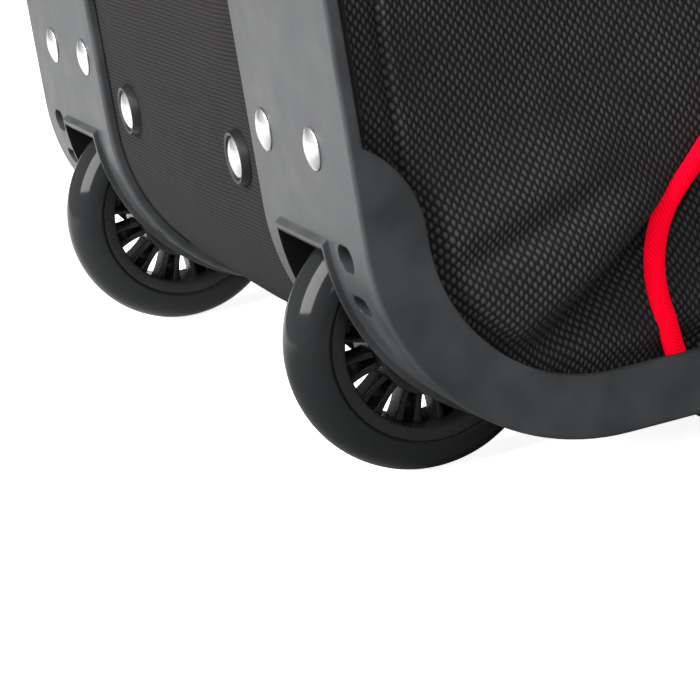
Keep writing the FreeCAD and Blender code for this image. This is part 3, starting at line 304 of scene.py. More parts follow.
def rounded_profile(corners, rounding, steps=5):
    """A closed outline with each corner rounded off: on each side it is left r tan(turn / 2) before the
    corner, and a parabola that is tangent to both sides joins the two places."""
    corners = np.asarray(corners, dtype=float)
    before, after = np.roll(corners, 1, axis=0), np.roll(corners, -1, axis=0)
    into = (corners - before) / np.linalg.norm(corners - before, axis=1)[:, None]
    out = (after - corners) / np.linalg.norm(after - corners, axis=1)[:, None]
    turn = np.arccos(np.clip(np.sum(into * out, axis=1), -1, 1))
    back = (rounding * np.tan(turn / 2))[:, None]
    a, b = corners - into * back, corners + out * back
    t = np.linspace(0, 1, steps)[None, :, None]
    first = a[:, None] + (corners - a)[:, None] * t
    second = corners[:, None] + (b - corners)[:, None] * t
    return (first + (second - first) * t).reshape(-1, corners.shape[1])


def wheel_centre(sign):
    """The middle of a wheel: the left one where sign is -1, the right one where it is 1."""
    return (AXLE_X, sign * WHEEL_Y, AXLE_Z)


tread_finish = Finish("wheel_tread")
where = tread_finish.object_place()
scuff = tread_finish.noise(where, 420.0, 5.0, 0.7)
patch = tread_finish.noise(where, 38.0, 3.0)
worn = tread_finish.math(
    "MULTIPLY", tread_finish.spread(scuff, 0.55, 0.85), tread_finish.spread(patch, 0.4, 0.7)
)
tread_finish.set(
    Base_Color=tread_finish.mix(worn, (0.015, 0.0165, 0.0175), (0.024, 0.026, 0.028)),
    Roughness=tread_finish.spread(worn, 0.0, 0.6, 0.12, 0.24),
    Specular_IOR_Level=0.10,
    Coat_Weight=0.17,
    Coat_Roughness=0.05,
    Normal=tread_finish.bump(scuff, 0.04 * MM, 0.25),
)

crown_end = math.acos((CORE_RADIUS + TREAD_LIP - TREAD_CENTRE) / TREAD_CROWN)
crown_angle = np.linspace(-crown_end, crown_end, 49)
crown_arc = np.stack(
    [TREAD_CENTRE + TREAD_CROWN * np.cos(crown_angle), TREAD_CROWN * np.sin(crown_angle)], axis=1
)
seat_half = crown_arc[-1, 1] - TREAD_LIP
bond = CORE_RADIUS - 0.05 * MM
tread_profile = np.concatenate([crown_arc, [(bond, seat_half), (bond, -seat_half)]])
for side, sign in SIDES.items():
    tread = outwards(made_of(f"tread_{side}", *turned_ring(tread_profile, wheel_centre(sign)), tread_finish))
    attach(tread, f"wheel_{side}")
    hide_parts(f"tyre_{side}")

# ---------------------------------------------------------------- wheel cores
# Each core is one black nylon moulding: rim, hub, a key that holds the tread, a stop between the two
# bearings, and twelve pairs of flat ribs set back from both faces. The wide gaps between pairs are open
# right through, and the narrow gap in each pair has a thin wall.

RIM_INNER = 25.3 * MM
RIM_HALF = 11.4 * MM
HUB_RADIUS = 15.6 * MM
HUB_HALF = 12.15 * MM
HUB_BORE = 11.0 * MM
BEARING_STOP = 5.1 * MM
KEY_RADIUS = 33.0 * MM
KEY_HALF = 3.0 * MM
RIB_PAIRS = 12
PAIR_PHASE = math.radians(12.0)
PAIR_STEP = 2 * math.pi / RIB_PAIRS
PAIR_SPREAD = math.radians(6.6)

core_finish = Finish("wheel_core")
where = core_finish.object_place()
grain = core_finish.noise(where, 900.0, 4.0)
core_finish.set(
    Base_Color=core_finish.mix(core_finish.noise(where, 60.0), (0.013, 0.013, 0.014), (0.022, 0.022, 0.022)),
    Roughness=core_finish.spread(grain, 0.3, 0.7, 0.20, 0.34),
    Specular_IOR_Level=0.30,
    Normal=core_finish.bump(grain, 0.06 * MM, 0.4),
)


def rib(angle, centre):
    """A rib from hub to rim. Its section at s, 0 to 1 along it, is the superellipse x = w |cos t|^0.30,
    y = d |sin t|^0.18, where w and d fall a little half way, w grows at the rim and d at the hub."""
    s = np.linspace(0, 1, 9)[:, None]
    radius = HUB_RADIUS - 1.0 * MM + s * (RIM_INNER - HUB_RADIUS + 1.8 * MM)    # sunk at both ends
    half_width = (1.22 - 0.18 * np.sin(np.pi * s) + 0.5 * s**6) * MM
    half_depth = (4.7 - 0.4 * np.sin(np.pi * s) + 1.4 * (1 - s) ** 6) * MM
    t = np.linspace(0, 2 * np.pi, 20, endpoint=False)[None, :]
    across = half_width * np.sign(np.cos(t)) * np.abs(np.cos(t)) ** 0.30
    along = half_depth * np.sign(np.sin(t)) * np.abs(np.sin(t)) ** 0.18
    x = centre[0] + radius * math.cos(angle) - across * math.sin(angle)
    z = centre[2] + radius * math.sin(angle) + across * math.cos(angle)
    return loops_solid(np.stack([x, centre[1] + along, z], axis=-1))


def rib_wall(angle, centre):
    """The thin wall inside one pair of ribs: a slab from hub to rim, carried round from rib to rib."""
    a = angle + np.linspace(-1, 1, 7)[:, None] * PAIR_SPREAD
    inner, outer, half = HUB_RADIUS - 0.8 * MM, RIM_INNER + 0.8 * MM, 1.6 * MM
    section = np.array([(inner, -half), (outer, -half), (outer, half), (inner, half)])
    x = centre[0] + section[None, :, 0] * np.cos(a)
    z = centre[2] + section[None, :, 0] * np.sin(a)
    y = np.broadcast_to(centre[1] + section[None, :, 1], x.shape)
    return loops_solid(np.stack([x, y, z], axis=-1))


def ring_section(inner, outer, half, rounding):
    """A rounded rectangle as a ring's (radius, offset) profile."""
    corners = [(inner, -half), (outer, -half), (outer, half), (inner, half)]
    return rounded_profile(corners, rounding)


for side, sign in SIDES.items():
    centre = wheel_centre(sign)
    parts = [
        turned_ring(ring_section(RIM_INNER, CORE_RADIUS, RIM_HALF, 0.7 * MM), centre),
        turned_ring(ring_section(HUB_BORE, HUB_RADIUS, HUB_HALF, 0.9 * MM), centre),
        turned_ring(ring_section(HUB_BORE - 1.5 * MM, HUB_BORE + 0.5 * MM, BEARING_STOP, 0.2 * MM), centre),
        turned_ring(ring_section(CORE_RADIUS - 1 * MM, KEY_RADIUS, KEY_HALF, 0.3 * MM), centre),
    ]
    for angle in PAIR_PHASE + PAIR_STEP * np.arange(RIB_PAIRS):
        parts += [rib(angle - PAIR_SPREAD, centre), rib(angle + PAIR_SPREAD, centre)]
        parts.append(rib_wall(angle, centre))
    core = outwards(made_of(f"core_{side}", *joined(parts), core_finish))
    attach(core, f"wheel_{side}")
    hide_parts(f"wheel_core_{side}")

# ---------------------------------------------------------------- bearings, axles and screws
# Ground steel 608 bearings on 8 mm button-head bolts with lock nuts, and zinc-plated screws, brace
# and tow pin. They keep the shape they were machined to; only their finish is made here.

steel_finish = Finish("bearing_steel")
where = steel_finish.object_place()
marks = steel_finish.noise(where, 700.0, 4.0)
steel_finish.set(
    Base_Color=steel_finish.mix(steel_finish.noise(where, 90.0), (0.56, 0.57, 0.58), (0.72, 0.72, 0.71)),
    Metallic=1.0,
    Roughness=steel_finish.spread(marks, 0.3, 0.7, 0.14, 0.30),
    Normal=steel_finish.bump(marks, 0.03 * MM, 0.3),
)


def finish_nodes(finish, *names):
    """Gives pieces that keep their own shape a finish."""
    for name in names:
        node[name].data.materials.clear()
        node[name].data.materials.append(finish.material)


finish_nodes(
    steel_finish, "bearing_outer_races_left", "bearing_outer_races_right", "bearing_inner_races",
    "bearing_balls", "bearing_spacers", "axle_bolts", "axle_nuts", "axle_washers", "rail_screws",
    "cross_brace", "tow_pin",
)

# ---------------------------------------------------------------- wheel housings and corner guards
# Satin grey moulded polypropylene: one housing round each wheel, with its guard band along the bag's
# side, and a plain guard on each corner at the other end. The mould leaves a very fine grain and
# slightly soft edges, and painted shade darkens the inside of the wheel wells and dulls their shine.


class Effect(Nodes):
    """A shader node group: sockets given to it by name, and numbers that it gives back."""

    def __init__(self, name, given, made):
        super().__init__(bpy.data.node_groups.new(name, "ShaderNodeTree"))
        for key, kind in given.items():
            self.tree.interface.new_socket(key, in_out="INPUT", socket_type=f"NodeSocket{kind}")
        for key in made:
            self.tree.interface.new_socket(key, in_out="OUTPUT", socket_type="NodeSocketFloat")
        self.given = self.add("NodeGroupInput").outputs
        self.made = self.add("NodeGroupOutput").inputs


def grain_group():
    """Moulded grain: a height from fine noise and a mask of slow blotches, both in 0 to 1."""
    effect = Effect("moulded_grain", {"Place": "Vector", "Fineness": "Float"}, ("Height", "Blotch"))
    place = effect.given["Place"]
    effect.feed(effect.made["Height"], effect.noise(place, effect.given["Fineness"], 4.0, 0.5))
    effect.feed(effect.made["Blotch"], effect.noise(place, 62.0, 5.0, 0.5))
    return effect.tree


GRAIN = grain_group()
EDGE_SOFTNESS = 0.9 * MM
WELL_INSIDE = 46.2 * MM
SLOT_HALF = 20.0 * MM


def moulded(name, dark, light, smooth_end, rough_end, fineness=1100.0, depth=0.05 * MM):
    """A moulded plastic finish: colour and roughness drift with the blotches, over a fine grain."""
    finish = Finish(name)
    inputs = {"Place": finish.object_place(), "Fineness": fineness}
    grain = finish.add("ShaderNodeGroup", inputs, node_tree=GRAIN)
    blotch = finish.spread(grain.outputs["Blotch"], 0.35, 0.65)
    finish.set(
        Base_Color=finish.mix(blotch, dark, light),
        Roughness=finish.spread(grain.outputs["Blotch"], 0.3, 0.7, smooth_end, rough_end),
        Normal=finish.bump(grain.outputs["Height"], depth, 0.5),
    )
    return finish


housing_finish = moulded("housing_plastic", (0.041, 0.0435, 0.0455), (0.066, 0.069, 0.073), 0.32, 0.50)
rounding = housing_finish.add("ShaderNodeBevel", {"Radius": EDGE_SOFTNESS}, samples=4)
grain_bump = housing_finish.shader.inputs["Normal"].links[0].from_node
housing_finish.feed(grain_bump.inputs["Normal"], rounding.outputs["Normal"])
apart = housing_finish.parts(housing_finish.object_place())
in_x = housing_finish.math("SUBTRACT", apart["X"], AXLE_X)
in_z = housing_finish.math("SUBTRACT", apart["Z"], AXLE_Z)
in_y = housing_finish.math("SUBTRACT", housing_finish.math("ABSOLUTE", apart["Y"]), WHEEL_Y)
squares = [housing_finish.math("MULTIPLY", part, part) for part in (in_x, in_z)]
reach = housing_finish.math("SQRT", housing_finish.math("ADD", *squares))
aside = housing_finish.math("ABSOLUTE", in_y)
# Painted shade: inside the wheel wells the colour goes near black and the shine drops.
painted_well_shade = housing_finish.math(
    "MULTIPLY",
    housing_finish.spread(reach, WELL_INSIDE + 0.6 * MM, WELL_INSIDE + 0.2 * MM),
    housing_finish.spread(aside, SLOT_HALF + 0.6 * MM, SLOT_HALF + 0.2 * MM),
)
plain = housing_finish.shader.inputs["Base Color"].links[0].from_socket
housing_finish.set(
    Base_Color=housing_finish.mix(painted_well_shade, plain, (0.010, 0.010, 0.011)),
    Specular_IOR_Level=housing_finish.spread(painted_well_shade, 0.0, 1.0, 0.24, 0.08),
)
black_finish = moulded("black_plastic", (0.010, 0.010, 0.011), (0.020, 0.020, 0.021), 0.36, 0.48, 800.0)
finish_nodes(
    housing_finish, "wheel_housing_left", "wheel_housing_right", "corner_guard_left", "corner_guard_right"
)

# ---------------------------------------------------------------- skid rails and tow handle frame
# Black moulded runners screwed up through the floor, level with the tread, and the black bracket and
# bail of the tow handle. Runners are scuffed pale along the face that drags.

rail_finish = Finish("skid_rail")
where = rail_finish.object_place()
drag = rail_finish.add("ShaderNodeMapping", {"Vector": where, "Scale": (3.0, 260.0, 260.0)}).outputs[0]
scrape = rail_finish.spread(rail_finish.noise(drag, 3.0, 4.0), 0.45, 0.75)
low_down = rail_finish.spread(rail_finish.parts(where)["Z"], 4.5 * MM, 0.0)
scraped = rail_finish.math("MULTIPLY", scrape, low_down)
rail_finish.set(
    Base_Color=rail_finish.mix(scraped, (0.012, 0.012, 0.013), (0.075, 0.075, 0.078)),
    Roughness=rail_finish.spread(scraped, 0.0, 1.0, 0.42, 0.7),
    Normal=rail_finish.bump(rail_finish.noise(where, 900.0), 0.05 * MM, 0.4),
)
finish_nodes(rail_finish, "skid_rail_left", "skid_rail_right")
finish_nodes(black_finish, "tow_bracket", "tow_bail")

# ---------------------------------------------------------------- rivets and cup washers
# Low domed rivets in bright nickel plate, a little hazed by handling. Two hold each housing to the end
# and two to the floor, two the middle of the end through black cup washers, and four the far corner
# guards. The vent eyelets and the tow handle's rivets keep their own shape and share the finish.

nickel_finish = Finish("nickel")
where = nickel_finish.object_place()
haze = nickel_finish.noise(where, 260.0, 5.0, 0.65)
dulled = nickel_finish.spread(haze, 0.35, 0.7)
nickel_finish.set(
    Base_Color=nickel_finish.mix(dulled, (0.95, 0.96, 0.97), (0.70, 0.72, 0.74)),
    Metallic=1.0,
    Roughness=nickel_finish.spread(haze, 0.35, 0.75, 0.22, 0.38),
    Normal=nickel_finish.bump(haze, 0.12 * MM, 0.35),
)
HEAD_RADIUS = 6.5 * MM
HEAD_CROWN = 1.9 * MM
HEAD_EDGE = 0.35 * MM
SHANK_RADIUS = 2.5 * MM
COLLAR_RADIUS = 9.0 * MM


def lathed(profile, foot, way, closed=False):
    """(points, faces) of a (radius, height) profile turned about way: foot + h way + r (u cos a + v sin a),
    where u and v are square to way. A closed profile makes a ring, an open one is capped."""
    profile = np.asarray(profile)
    way = np.asarray(way, dtype=float)
    across = np.cross(way, (0.0, 0.0, 1.0) if abs(way[2]) < 0.9 else (1.0, 0.0, 0.0))
    across /= np.linalg.norm(across)
    beside = np.cross(way, across)
    a = np.linspace(0, 2 * np.pi, 64, endpoint=False)[None, :, None]
    ring = across * np.cos(a) + beside * np.sin(a)
    loops = np.asarray(foot) + profile[:, 0, None, None] * ring + profile[:, 1, None, None] * way
    return loops_solid(loops, wrap=closed)


def domed_rivet(seat, out, length):
    """A domed head on its seat, with its edge rolled under, a shank back through and a set tail. At t, 0
    to 1 from the edge in, the dome's height is e + (c - e)(1 - (1 - t)^2.2), from edge e to crown c."""
    t = np.linspace(0, 1, 14)
    rise = HEAD_EDGE + (HEAD_CROWN - HEAD_EDGE) * (1 - (1 - t) ** 2.2)
    dome = np.stack([HEAD_RADIUS * (1 - t * 0.996), rise], axis=1)
    profile = [
        (0.02 * MM, -length - 1.4 * MM), (HEAD_RADIUS * 0.45, -length - 1.3 * MM),
        (HEAD_RADIUS * 0.75, -length - 0.1 * MM), (SHANK_RADIUS, -length + 0.1 * MM),
        (SHANK_RADIUS, -0.05 * MM), (HEAD_RADIUS * 0.96, 0.0), (HEAD_RADIUS * 0.995, 0.12 * MM),
    ]
    return lathed(np.concatenate([profile, dome]), seat, out)


wheel_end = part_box("base_wrap")[0][0]
end_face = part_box("wheel_housing_right")[0][0] + 1.8 * MM
bag_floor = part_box("corner_guard_right")[0][2]
handle_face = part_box("corner_guard_right")[1][0]
board_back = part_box("end_board")[1][0]
brace_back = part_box("cross_brace")[1][0]
floor_board_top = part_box("base_board")[1][2]
GUARD_GRIP = 6.8 * MM
END_RIVET_Y = (WHEEL_Y - 22 * MM, WHEEL_Y + 22 * MM)
END_RIVET_Z = AXLE_Z + 64.5 * MM
PANEL_RIVET_Y = 62 * MM
PANEL_RIVET_Z = AXLE_Z + 50 * MM
FLOOR_RIVETS = [(AXLE_X + run * MM, 98 * MM) for run in (75, 150)]
GUARD_RIVETS = [(126 * MM, bag_floor + 76 * MM), (162 * MM, bag_floor + 76 * MM)]
panel_seat = wheel_end - 1.8 * MM

housing_rivets, panel_rivets, guard_rivets, collars = [], [], [], []
for sign in SIDES.values():
    for y in END_RIVET_Y:
        housing_rivets.append(
            domed_rivet((end_face, sign * y, END_RIVET_Z), (-1, 0, 0), board_back - end_face)
        )
    for x, y in FLOOR_RIVETS:
        housing_rivets.append(
            domed_rivet((x, sign * y, bag_floor), (0, 0, -1), floor_board_top - bag_floor)
        )
    panel_rivets.append(
        domed_rivet((panel_seat, sign * PANEL_RIVET_Y, PANEL_RIVET_Z), (-1, 0, 0), brace_back - panel_seat)
    )
    for y, z in GUARD_RIVETS:
        guard_rivets.append(domed_rivet((handle_face, sign * y, z), (1, 0, 0), GUARD_GRIP))
    cup = rounded_profile(
        [(3.0 * MM, 0.0), (COLLAR_RADIUS, 0.0), (COLLAR_RADIUS - 1.0 * MM, 3.0 * MM),
         (HEAD_RADIUS + 0.5 * MM, 2.7 * MM), (HEAD_RADIUS + 0.3 * MM, 1.75 * MM), (3.0 * MM, 1.75 * MM)],
        0.18 * MM,
    )
    collars.append(lathed(cup, (wheel_end, sign * PANEL_RIVET_Y, PANEL_RIVET_Z), (-1, 0, 0), closed=True))
for name, parts, finish, stood_for, slot in (
    ("housing_rivet_heads", housing_rivets, nickel_finish, "housing_rivets", "nickel"),
    ("panel_rivet_heads", panel_rivets, nickel_finish, "panel_rivets", "nickel"),
    ("guard_rivet_heads", guard_rivets, nickel_finish, "guard_rivets", "nickel"),
    ("cup_washers", collars, black_finish, "rivet_collars", "black_plastic"),
):
    piece = outwards(made_of(name, *joined(parts), finish))
    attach(piece, "bag")
    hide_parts(stood_for)
finish_nodes(nickel_finish, "vent_eyelets", "tow_rivets")

# ---------------------------------------------------------------- ribbed base
# Heavy ribbed nylon, rubber-backed, wraps the floor, both rounded bottom edges and the lower wall of the
# wheel end, with its ribs across the bag. It swells a little between the housings and is pulled in
# round the cup washers.

BASE_THICK = 2.6 * MM
WHEEL_BEND = 64.2 * MM
HANDLE_BEND = 41.2 * MM
WELL_REACH = 50.5 * MM
WELL_HALF = 23.4 * MM
RIB_PITCH = 1.4 * MM
THREAD_PITCH = 0.75 * MM
HOUSING_INNER = 88 * MM
base_low, base_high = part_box("base_wrap")
handle_end = base_high[0]
floor_low = base_low[2]
BASE_TOP_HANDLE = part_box("handle_end_panel")[0][2]


def eased(value, low, high):
    """0 below low, 1 above high, and 3t^2 - 2t^3 between."""
    t = np.clip((value - low) / (high - low), 0.0, 1.0)
    return t * t * (3 - 2 * t)


def bell(value, middle, width):
    """A bell curve, exp(-((value - middle) / width)^2)."""
    return np.exp(-(((value - middle) / width) ** 2))


def arc_points(centre, radius, start, end, count):
    """Points of an arc in the XZ plane, centre + radius (cos a, sin a), from start to end in degrees."""
    a = np.radians(np.linspace(start, end, count))
    return np.stack([centre[0] + radius * np.cos(a), centre[1] + radius * np.sin(a)], axis=1)


def lengths_along(path):
    """How far along an open path each of its points lies."""
    steps = np.linalg.norm(np.diff(path, axis=0), axis=1)
    return np.concatenate([[0.0], np.cumsum(steps)])


def headings(path):
    """Unit directions along an open path, one for each of its points."""
    way = np.gradient(path, axis=0)
    return way / np.linalg.norm(way, axis=1)[:, None]


def evenly(path, spacing):
    """An open path's points again at an even spacing."""
    along = lengths_along(path)
    at = np.linspace(0, along[-1], int(along[-1] / spacing) + 2)
    return np.stack([np.interp(at, along, path[:, i]) for i in range(path.shape[1])], axis=1)


def cloth_shell(name, points, uv, finish, thickness, inside, keep=None, wrap=False):
    """A fabric wall from a grid of points on its outer face. Faces are turned away from the point inside,
    those of no area or outside keep are left out, and a Solidify modifier gives the thickness, inwards."""
    rows, columns = points.shape[:2]
    faces = grid_faces(rows, columns, False, wrap)
    flat, cloth = points.reshape(-1, 3), uv.reshape(-1, 2)
    a, b, c, d = (flat[faces[:, i]] for i in range(4))
    normal = np.cross(c - a, d - b)
    middle = (a + b + c + d) / 4
    chosen = np.linalg.norm(normal, axis=1) > 1e-9
    if keep is not None:
        chosen &= keep(middle)
    if np.sum(normal[chosen] * (middle[chosen] - np.asarray(inside))) < 0:
        faces = faces[:, ::-1]
    thing = made_of(name, flat, faces[chosen].tolist(), finish, cloth)
    work = bmesh.new()
    work.from_mesh(thing.data)
    bmesh.ops.remove_doubles(work, verts=work.verts[:], dist=1e-6)
    bmesh.ops.delete(work, geom=[v for v in work.verts if not v.link_faces], context="VERTS")
    bmesh.ops.dissolve_degenerate(work, edges=work.edges[:], dist=1e-7)
    work.to_mesh(thing.data)
    work.free()
    wall = thing.modifiers.new("thickness", "SOLIDIFY")
    wall.thickness = thickness
    wall.offset = -1.0
    return thing


def rib_group():
    """Ribbed cloth at (along, across) in metres. Height is |sin(pi along / rib pitch)|, lowered by up to
    0.35 between the threads over each rib, |sin(pi across / thread pitch)|, which start half a pitch later
    from rib to rib. Fleck is a slow unevenness."""
    effect = Effect("ribbed_cloth", {"Place": "Vector"}, ("Height", "Fleck"))
    place = effect.parts(effect.given["Place"])
    row = effect.math("FLOOR", effect.math("MULTIPLY", place["X"], 1 / RIB_PITCH))
    shifted = effect.math("ADD", place["Y"], effect.math("MULTIPLY", row, THREAD_PITCH / 2))
    thread = effect.math("ADD", effect.math("MULTIPLY", effect.ridges(shifted, THREAD_PITCH), 0.35), 0.65)
    height = effect.math("MULTIPLY", effect.ridges(place["X"], RIB_PITCH), thread)
    effect.feed(effect.made["Height"], height)
    effect.feed(effect.made["Fleck"], effect.noise(effect.given["Place"], 130.0, 4.0, 0.5))
    return effect.tree


base_finish = Finish("ribbed_fabric")
ribs = base_finish.add("ShaderNodeGroup", {"Place": base_finish.cloth_place()}, node_tree=rib_group())
fleck = base_finish.spread(ribs.outputs["Fleck"], 0.25, 0.75, 0.7, 1.0)
rib_light = base_finish.math("MULTIPLY", ribs.outputs["Height"], fleck)
base_finish.set(
    Base_Color=base_finish.mix(rib_light, (0.0110, 0.0102, 0.0106), (0.0350, 0.0328, 0.0340)),
    Roughness=0.9,
    Specular_IOR_Level=0.02,
    Sheen_Weight=0.03,
    Sheen_Roughness=0.6,
    Normal=base_finish.bump(ribs.outputs["Height"], 0.3 * MM, 0.8),
)

wheel_arc = arc_points((wheel_end + WHEEL_BEND, floor_low + WHEEL_BEND), WHEEL_BEND, 180, 270, 30)
handle_arc = arc_points((handle_end - HANDLE_BEND, floor_low + HANDLE_BEND), HANDLE_BEND, 270, 360, 16)
wheel_top, handle_top = [(wheel_end, base_high[2])], [(handle_end, BASE_TOP_HANDLE)]
base_route = evenly(np.concatenate([wheel_top, wheel_arc, handle_arc, handle_top]), 3.4 * MM)
base_along = lengths_along(base_route)
heading = headings(base_route)
base_out = np.stack([heading[:, 1], -heading[:, 0]], axis=1)
across = np.linspace(base_low[1], base_high[1], 101)
x, y = np.meshgrid(base_route[:, 0], across, indexing="ij")
z = np.broadcast_to(base_route[:, 1][:, None], x.shape)
between = 1 - eased(np.abs(y), HOUSING_INNER - 26 * MM, HOUSING_INNER - 2 * MM)
from_end = 1 - eased(base_along, 200 * MM, 260 * MM)[:, None]
to_washer = np.hypot(np.abs(y) - PANEL_RIVET_Y, z - PANEL_RIVET_Z)
pucker = eased(to_washer, 9 * MM, 30 * MM) + 0.12 * bell(to_washer, 13 * MM, 3 * MM)
ripple = 0.25 * np.sin(y / (19 * MM) + 2.1 * np.sin(z / (31 * MM)))
swell = 1.5 * MM * between * from_end * pucker * (1 + ripple) * eased(base_along, 0.0, 30 * MM)[:, None]
base_points = np.stack([x + base_out[:, :1] * swell, y, z + base_out[:, 1:] * swell], axis=-1)
base_uv = np.stack([np.broadcast_to(base_along[:, None], x.shape), y], axis=-1)


def outside_wells(middle):
    """Faces clear of both wheel wells."""
    reach = np.hypot(middle[:, 0] - AXLE_X, middle[:, 2] - AXLE_Z)
    return (reach > WELL_REACH) | (np.abs(np.abs(middle[:, 1]) - WHEEL_Y) > WELL_HALF)


base = cloth_shell(
    "ribbed_base", base_points, base_uv, base_finish, BASE_THICK, (0.0, 0.0, 0.12), outside_wells
)
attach(base, "bag")
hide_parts("base_wrap")

# ---------------------------------------------------------------- bag shell
# The four walls are black ballistic nylon over thin foam, sewn into one open box with an upright seam by
# each wheel end corner. It hangs slack between the frame and the zip: folds run up from each wheel
# housing, the walls dip under the guard bands and soft waves run along both sides.

WALL_THICK = 2.4 * MM
TIGHT_CORNER = 2.5 * MM
SOFT_CORNER = 16.0 * MM
WALL_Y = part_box("side_panel_right")[1][1]
WALL_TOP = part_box("zip_chain_bag")[0][2]
LID_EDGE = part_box("wheel_end_panel")[1][2]
EYELETS = [(x * MM, 300 * MM) for x in (-385, -345, -305, 285, 325, 365)]
STRAP_X = 190 * MM
STRAP_WIDTH = 38 * MM
half_long = (handle_end - wheel_end) / 2
mid_long = (handle_end + wheel_end) / 2

# The guard band's inner edge, and the folds' feet, are measured from the wheel's axle.
CORNER_CENTRE, CORNER_INNER = (40.0 * MM, 39.5 * MM), 49.7 * MM
SHOULDER_CENTRE, SHOULDER_RADIUS = (-40.2 * MM, 42.0 * MM), 30.5 * MM
FOLD_FOOT, FOLD_TURN = (20.3 * MM, 4.5 * MM), math.radians(36.6)
UPPER_FOOT, UPPER_TURN = (-2.0 * MM, 28.0 * MM), math.radians(17.2)
CREST = 10.5 * MM
HOLLOW = 4.4 * MM
UPPER_HOLLOW = 2.2 * MM
SEAM_RUN = -13.2 * MM
SEAM_DEPTH = 2.6 * MM


def guard_gap(run, rise):
    """How far inside the guard band's inner edge a point of the wall lies. The edge is a level line along
    the floor, an arc round the corner, an upright, and a rounded shoulder that ends on the wheel end; past
    the housing's tail there is no edge, and the gap counts as 30 mm."""
    corner = CORNER_INNER - np.hypot(run - CORNER_CENTRE[0], rise - CORNER_CENTRE[1])
    upright = np.minimum(run - CORNER_CENTRE[0] + CORNER_INNER, 90 * MM)
    level = rise - CORNER_CENTRE[1] + CORNER_INNER
    shoulder = np.hypot(run - SHOULDER_CENTRE[0], rise - SHOULDER_CENTRE[1]) - SHOULDER_RADIUS
    before, below = run < CORNER_CENTRE[0], rise < CORNER_CENTRE[1]
    gap = np.where(before & below, corner, np.where(before, upright, level))
    gap = np.where(rise > SHOULDER_CENTRE[1], shoulder, gap)
    past = eased(run, 150 * MM, 185 * MM)
    return gap * (1 - past) + 30 * MM * past


def slanted(run, rise, foot, turn):
    """(along, across) a line that leaves its foot at an angle: the offset from the foot, turned back."""
    a, b = run - foot[0], rise - foot[1]
    return math.cos(turn) * a + math.sin(turn) * b, math.cos(turn) * b - math.sin(turn) * a


def fold_swell(run, rise):
    """Two slanting folds above the housing. The main one has a narrow hollow below a crest that rises
    steeply and fades slowly, and the upper one is a shallow valley with a low ridge. Both run out at their
    ends."""
    along, across = slanted(run, rise, FOLD_FOOT, FOLD_TURN)
    across = across + 2.0 * MM * np.sin(along / (24 * MM))
    span = eased(along, -26 * MM, 24 * MM) * (1 - 0.5 * eased(along, 38 * MM, 58 * MM))
    span = span * (1 - eased(along, 110 * MM, 230 * MM))
    crest = CREST * eased(across, -1.5 * MM, 6.5 * MM) * (1 - 0.9 * eased(across, 9 * MM, 62 * MM))
    hollow = -HOLLOW * bell(across, -3.0 * MM, 4.0 * MM) + 2.2 * MM * eased(-across, 6 * MM, 26 * MM)
    along, across = slanted(run, rise, UPPER_FOOT, UPPER_TURN)
    upper = -UPPER_HOLLOW * bell(across, 0.0, 4.4 * MM) + 1.0 * MM * bell(across, 9 * MM, 7 * MM)
    upper = upper * eased(along, -9 * MM, 8 * MM) * (1 - eased(along, 34 * MM, 64 * MM))
    return (crest + hollow) * span + upper


def slow_waves(x, z, sign):
    """Soft waves of the slack wall, out of step on the two sides. The wall sinks in behind the carry
    handle, and lies flat at the zip, both ends, the eyelets and, mostly, the sewn straps."""
    turn = 1.7 if sign > 0 else 0.0
    wave = np.sin(x / (57 * MM) + 1.4 * np.sin(z / (64 * MM) + turn)) * np.sin(z / (47 * MM) + 0.8 + turn)
    small = np.sin((x + 0.6 * z) / (23 * MM) + turn) * eased(z, 160 * MM, 240 * MM)
    billow = 2.6 * MM * wave + 1.3 * MM * small
    high = eased(z, 115 * MM, 190 * MM) * (1 - eased(z, 300 * MM, WALL_TOP - 2 * MM))
    ends = eased(x, wheel_end + 14 * MM, wheel_end + 60 * MM)
    ends = ends * (1 - eased(x, handle_end - 70 * MM, handle_end - 16 * MM))
    behind_handle = bell(x, 0.0, 260 * MM)
    swell = (billow * (1 - 0.55 * behind_handle) - 3.2 * MM * behind_handle) * high * ends
    for eyelet_x, eyelet_z in EYELETS:
        swell = swell * eased(np.hypot(x - eyelet_x, z - eyelet_z), 8 * MM, 34 * MM)
    for strap_x in (-STRAP_X, STRAP_X):
        beside = eased(np.abs(x - strap_x), STRAP_WIDTH / 2, STRAP_WIDTH / 2 + 23 * MM)
        swell = swell * (1 - 0.75 * (1 - beside))
    return swell


def wall_swell(x, z, sign):
    """How far a side wall stands out from its flat plane: the folds, which die out at the guard band, a
    tuck under the band, a dip at the foot of the piping, and the slow waves."""
    run, rise = x - AXLE_X, z - AXLE_Z
    gap = guard_gap(run, rise)
    fold = fold_swell(run, rise) * eased(gap, 0.5 * MM, 9 * MM)
    tuck = -1.5 * MM * (1 - eased(gap, -1 * MM, 9 * MM))
    foot = -4.2 * MM * bell(run, 62 * MM, 7.5 * MM) * (1 - eased(rise, -9 * MM, 7 * MM))
    return fold + tuck + foot + slow_waves(x, z, sign)


def seam_dip(x, z):
    """How far the upright seam beside the wheel end's corner stands out: a groove with a raised edge
    beside it that puckers at each stitch, from above the guard band up."""
    run, rise = x - AXLE_X, z - AXLE_Z
    pucker = 0.6 * MM * bell(run, SEAM_RUN + 3 * MM, 1.7 * MM) * (0.55 + 0.45 * np.sin(rise / (2.6 * MM)))
    groove = SEAM_DEPTH * bell(run, SEAM_RUN, 1.3 * MM)
    return (pucker - groove) * eased(rise, 50 * MM, 56 * MM)


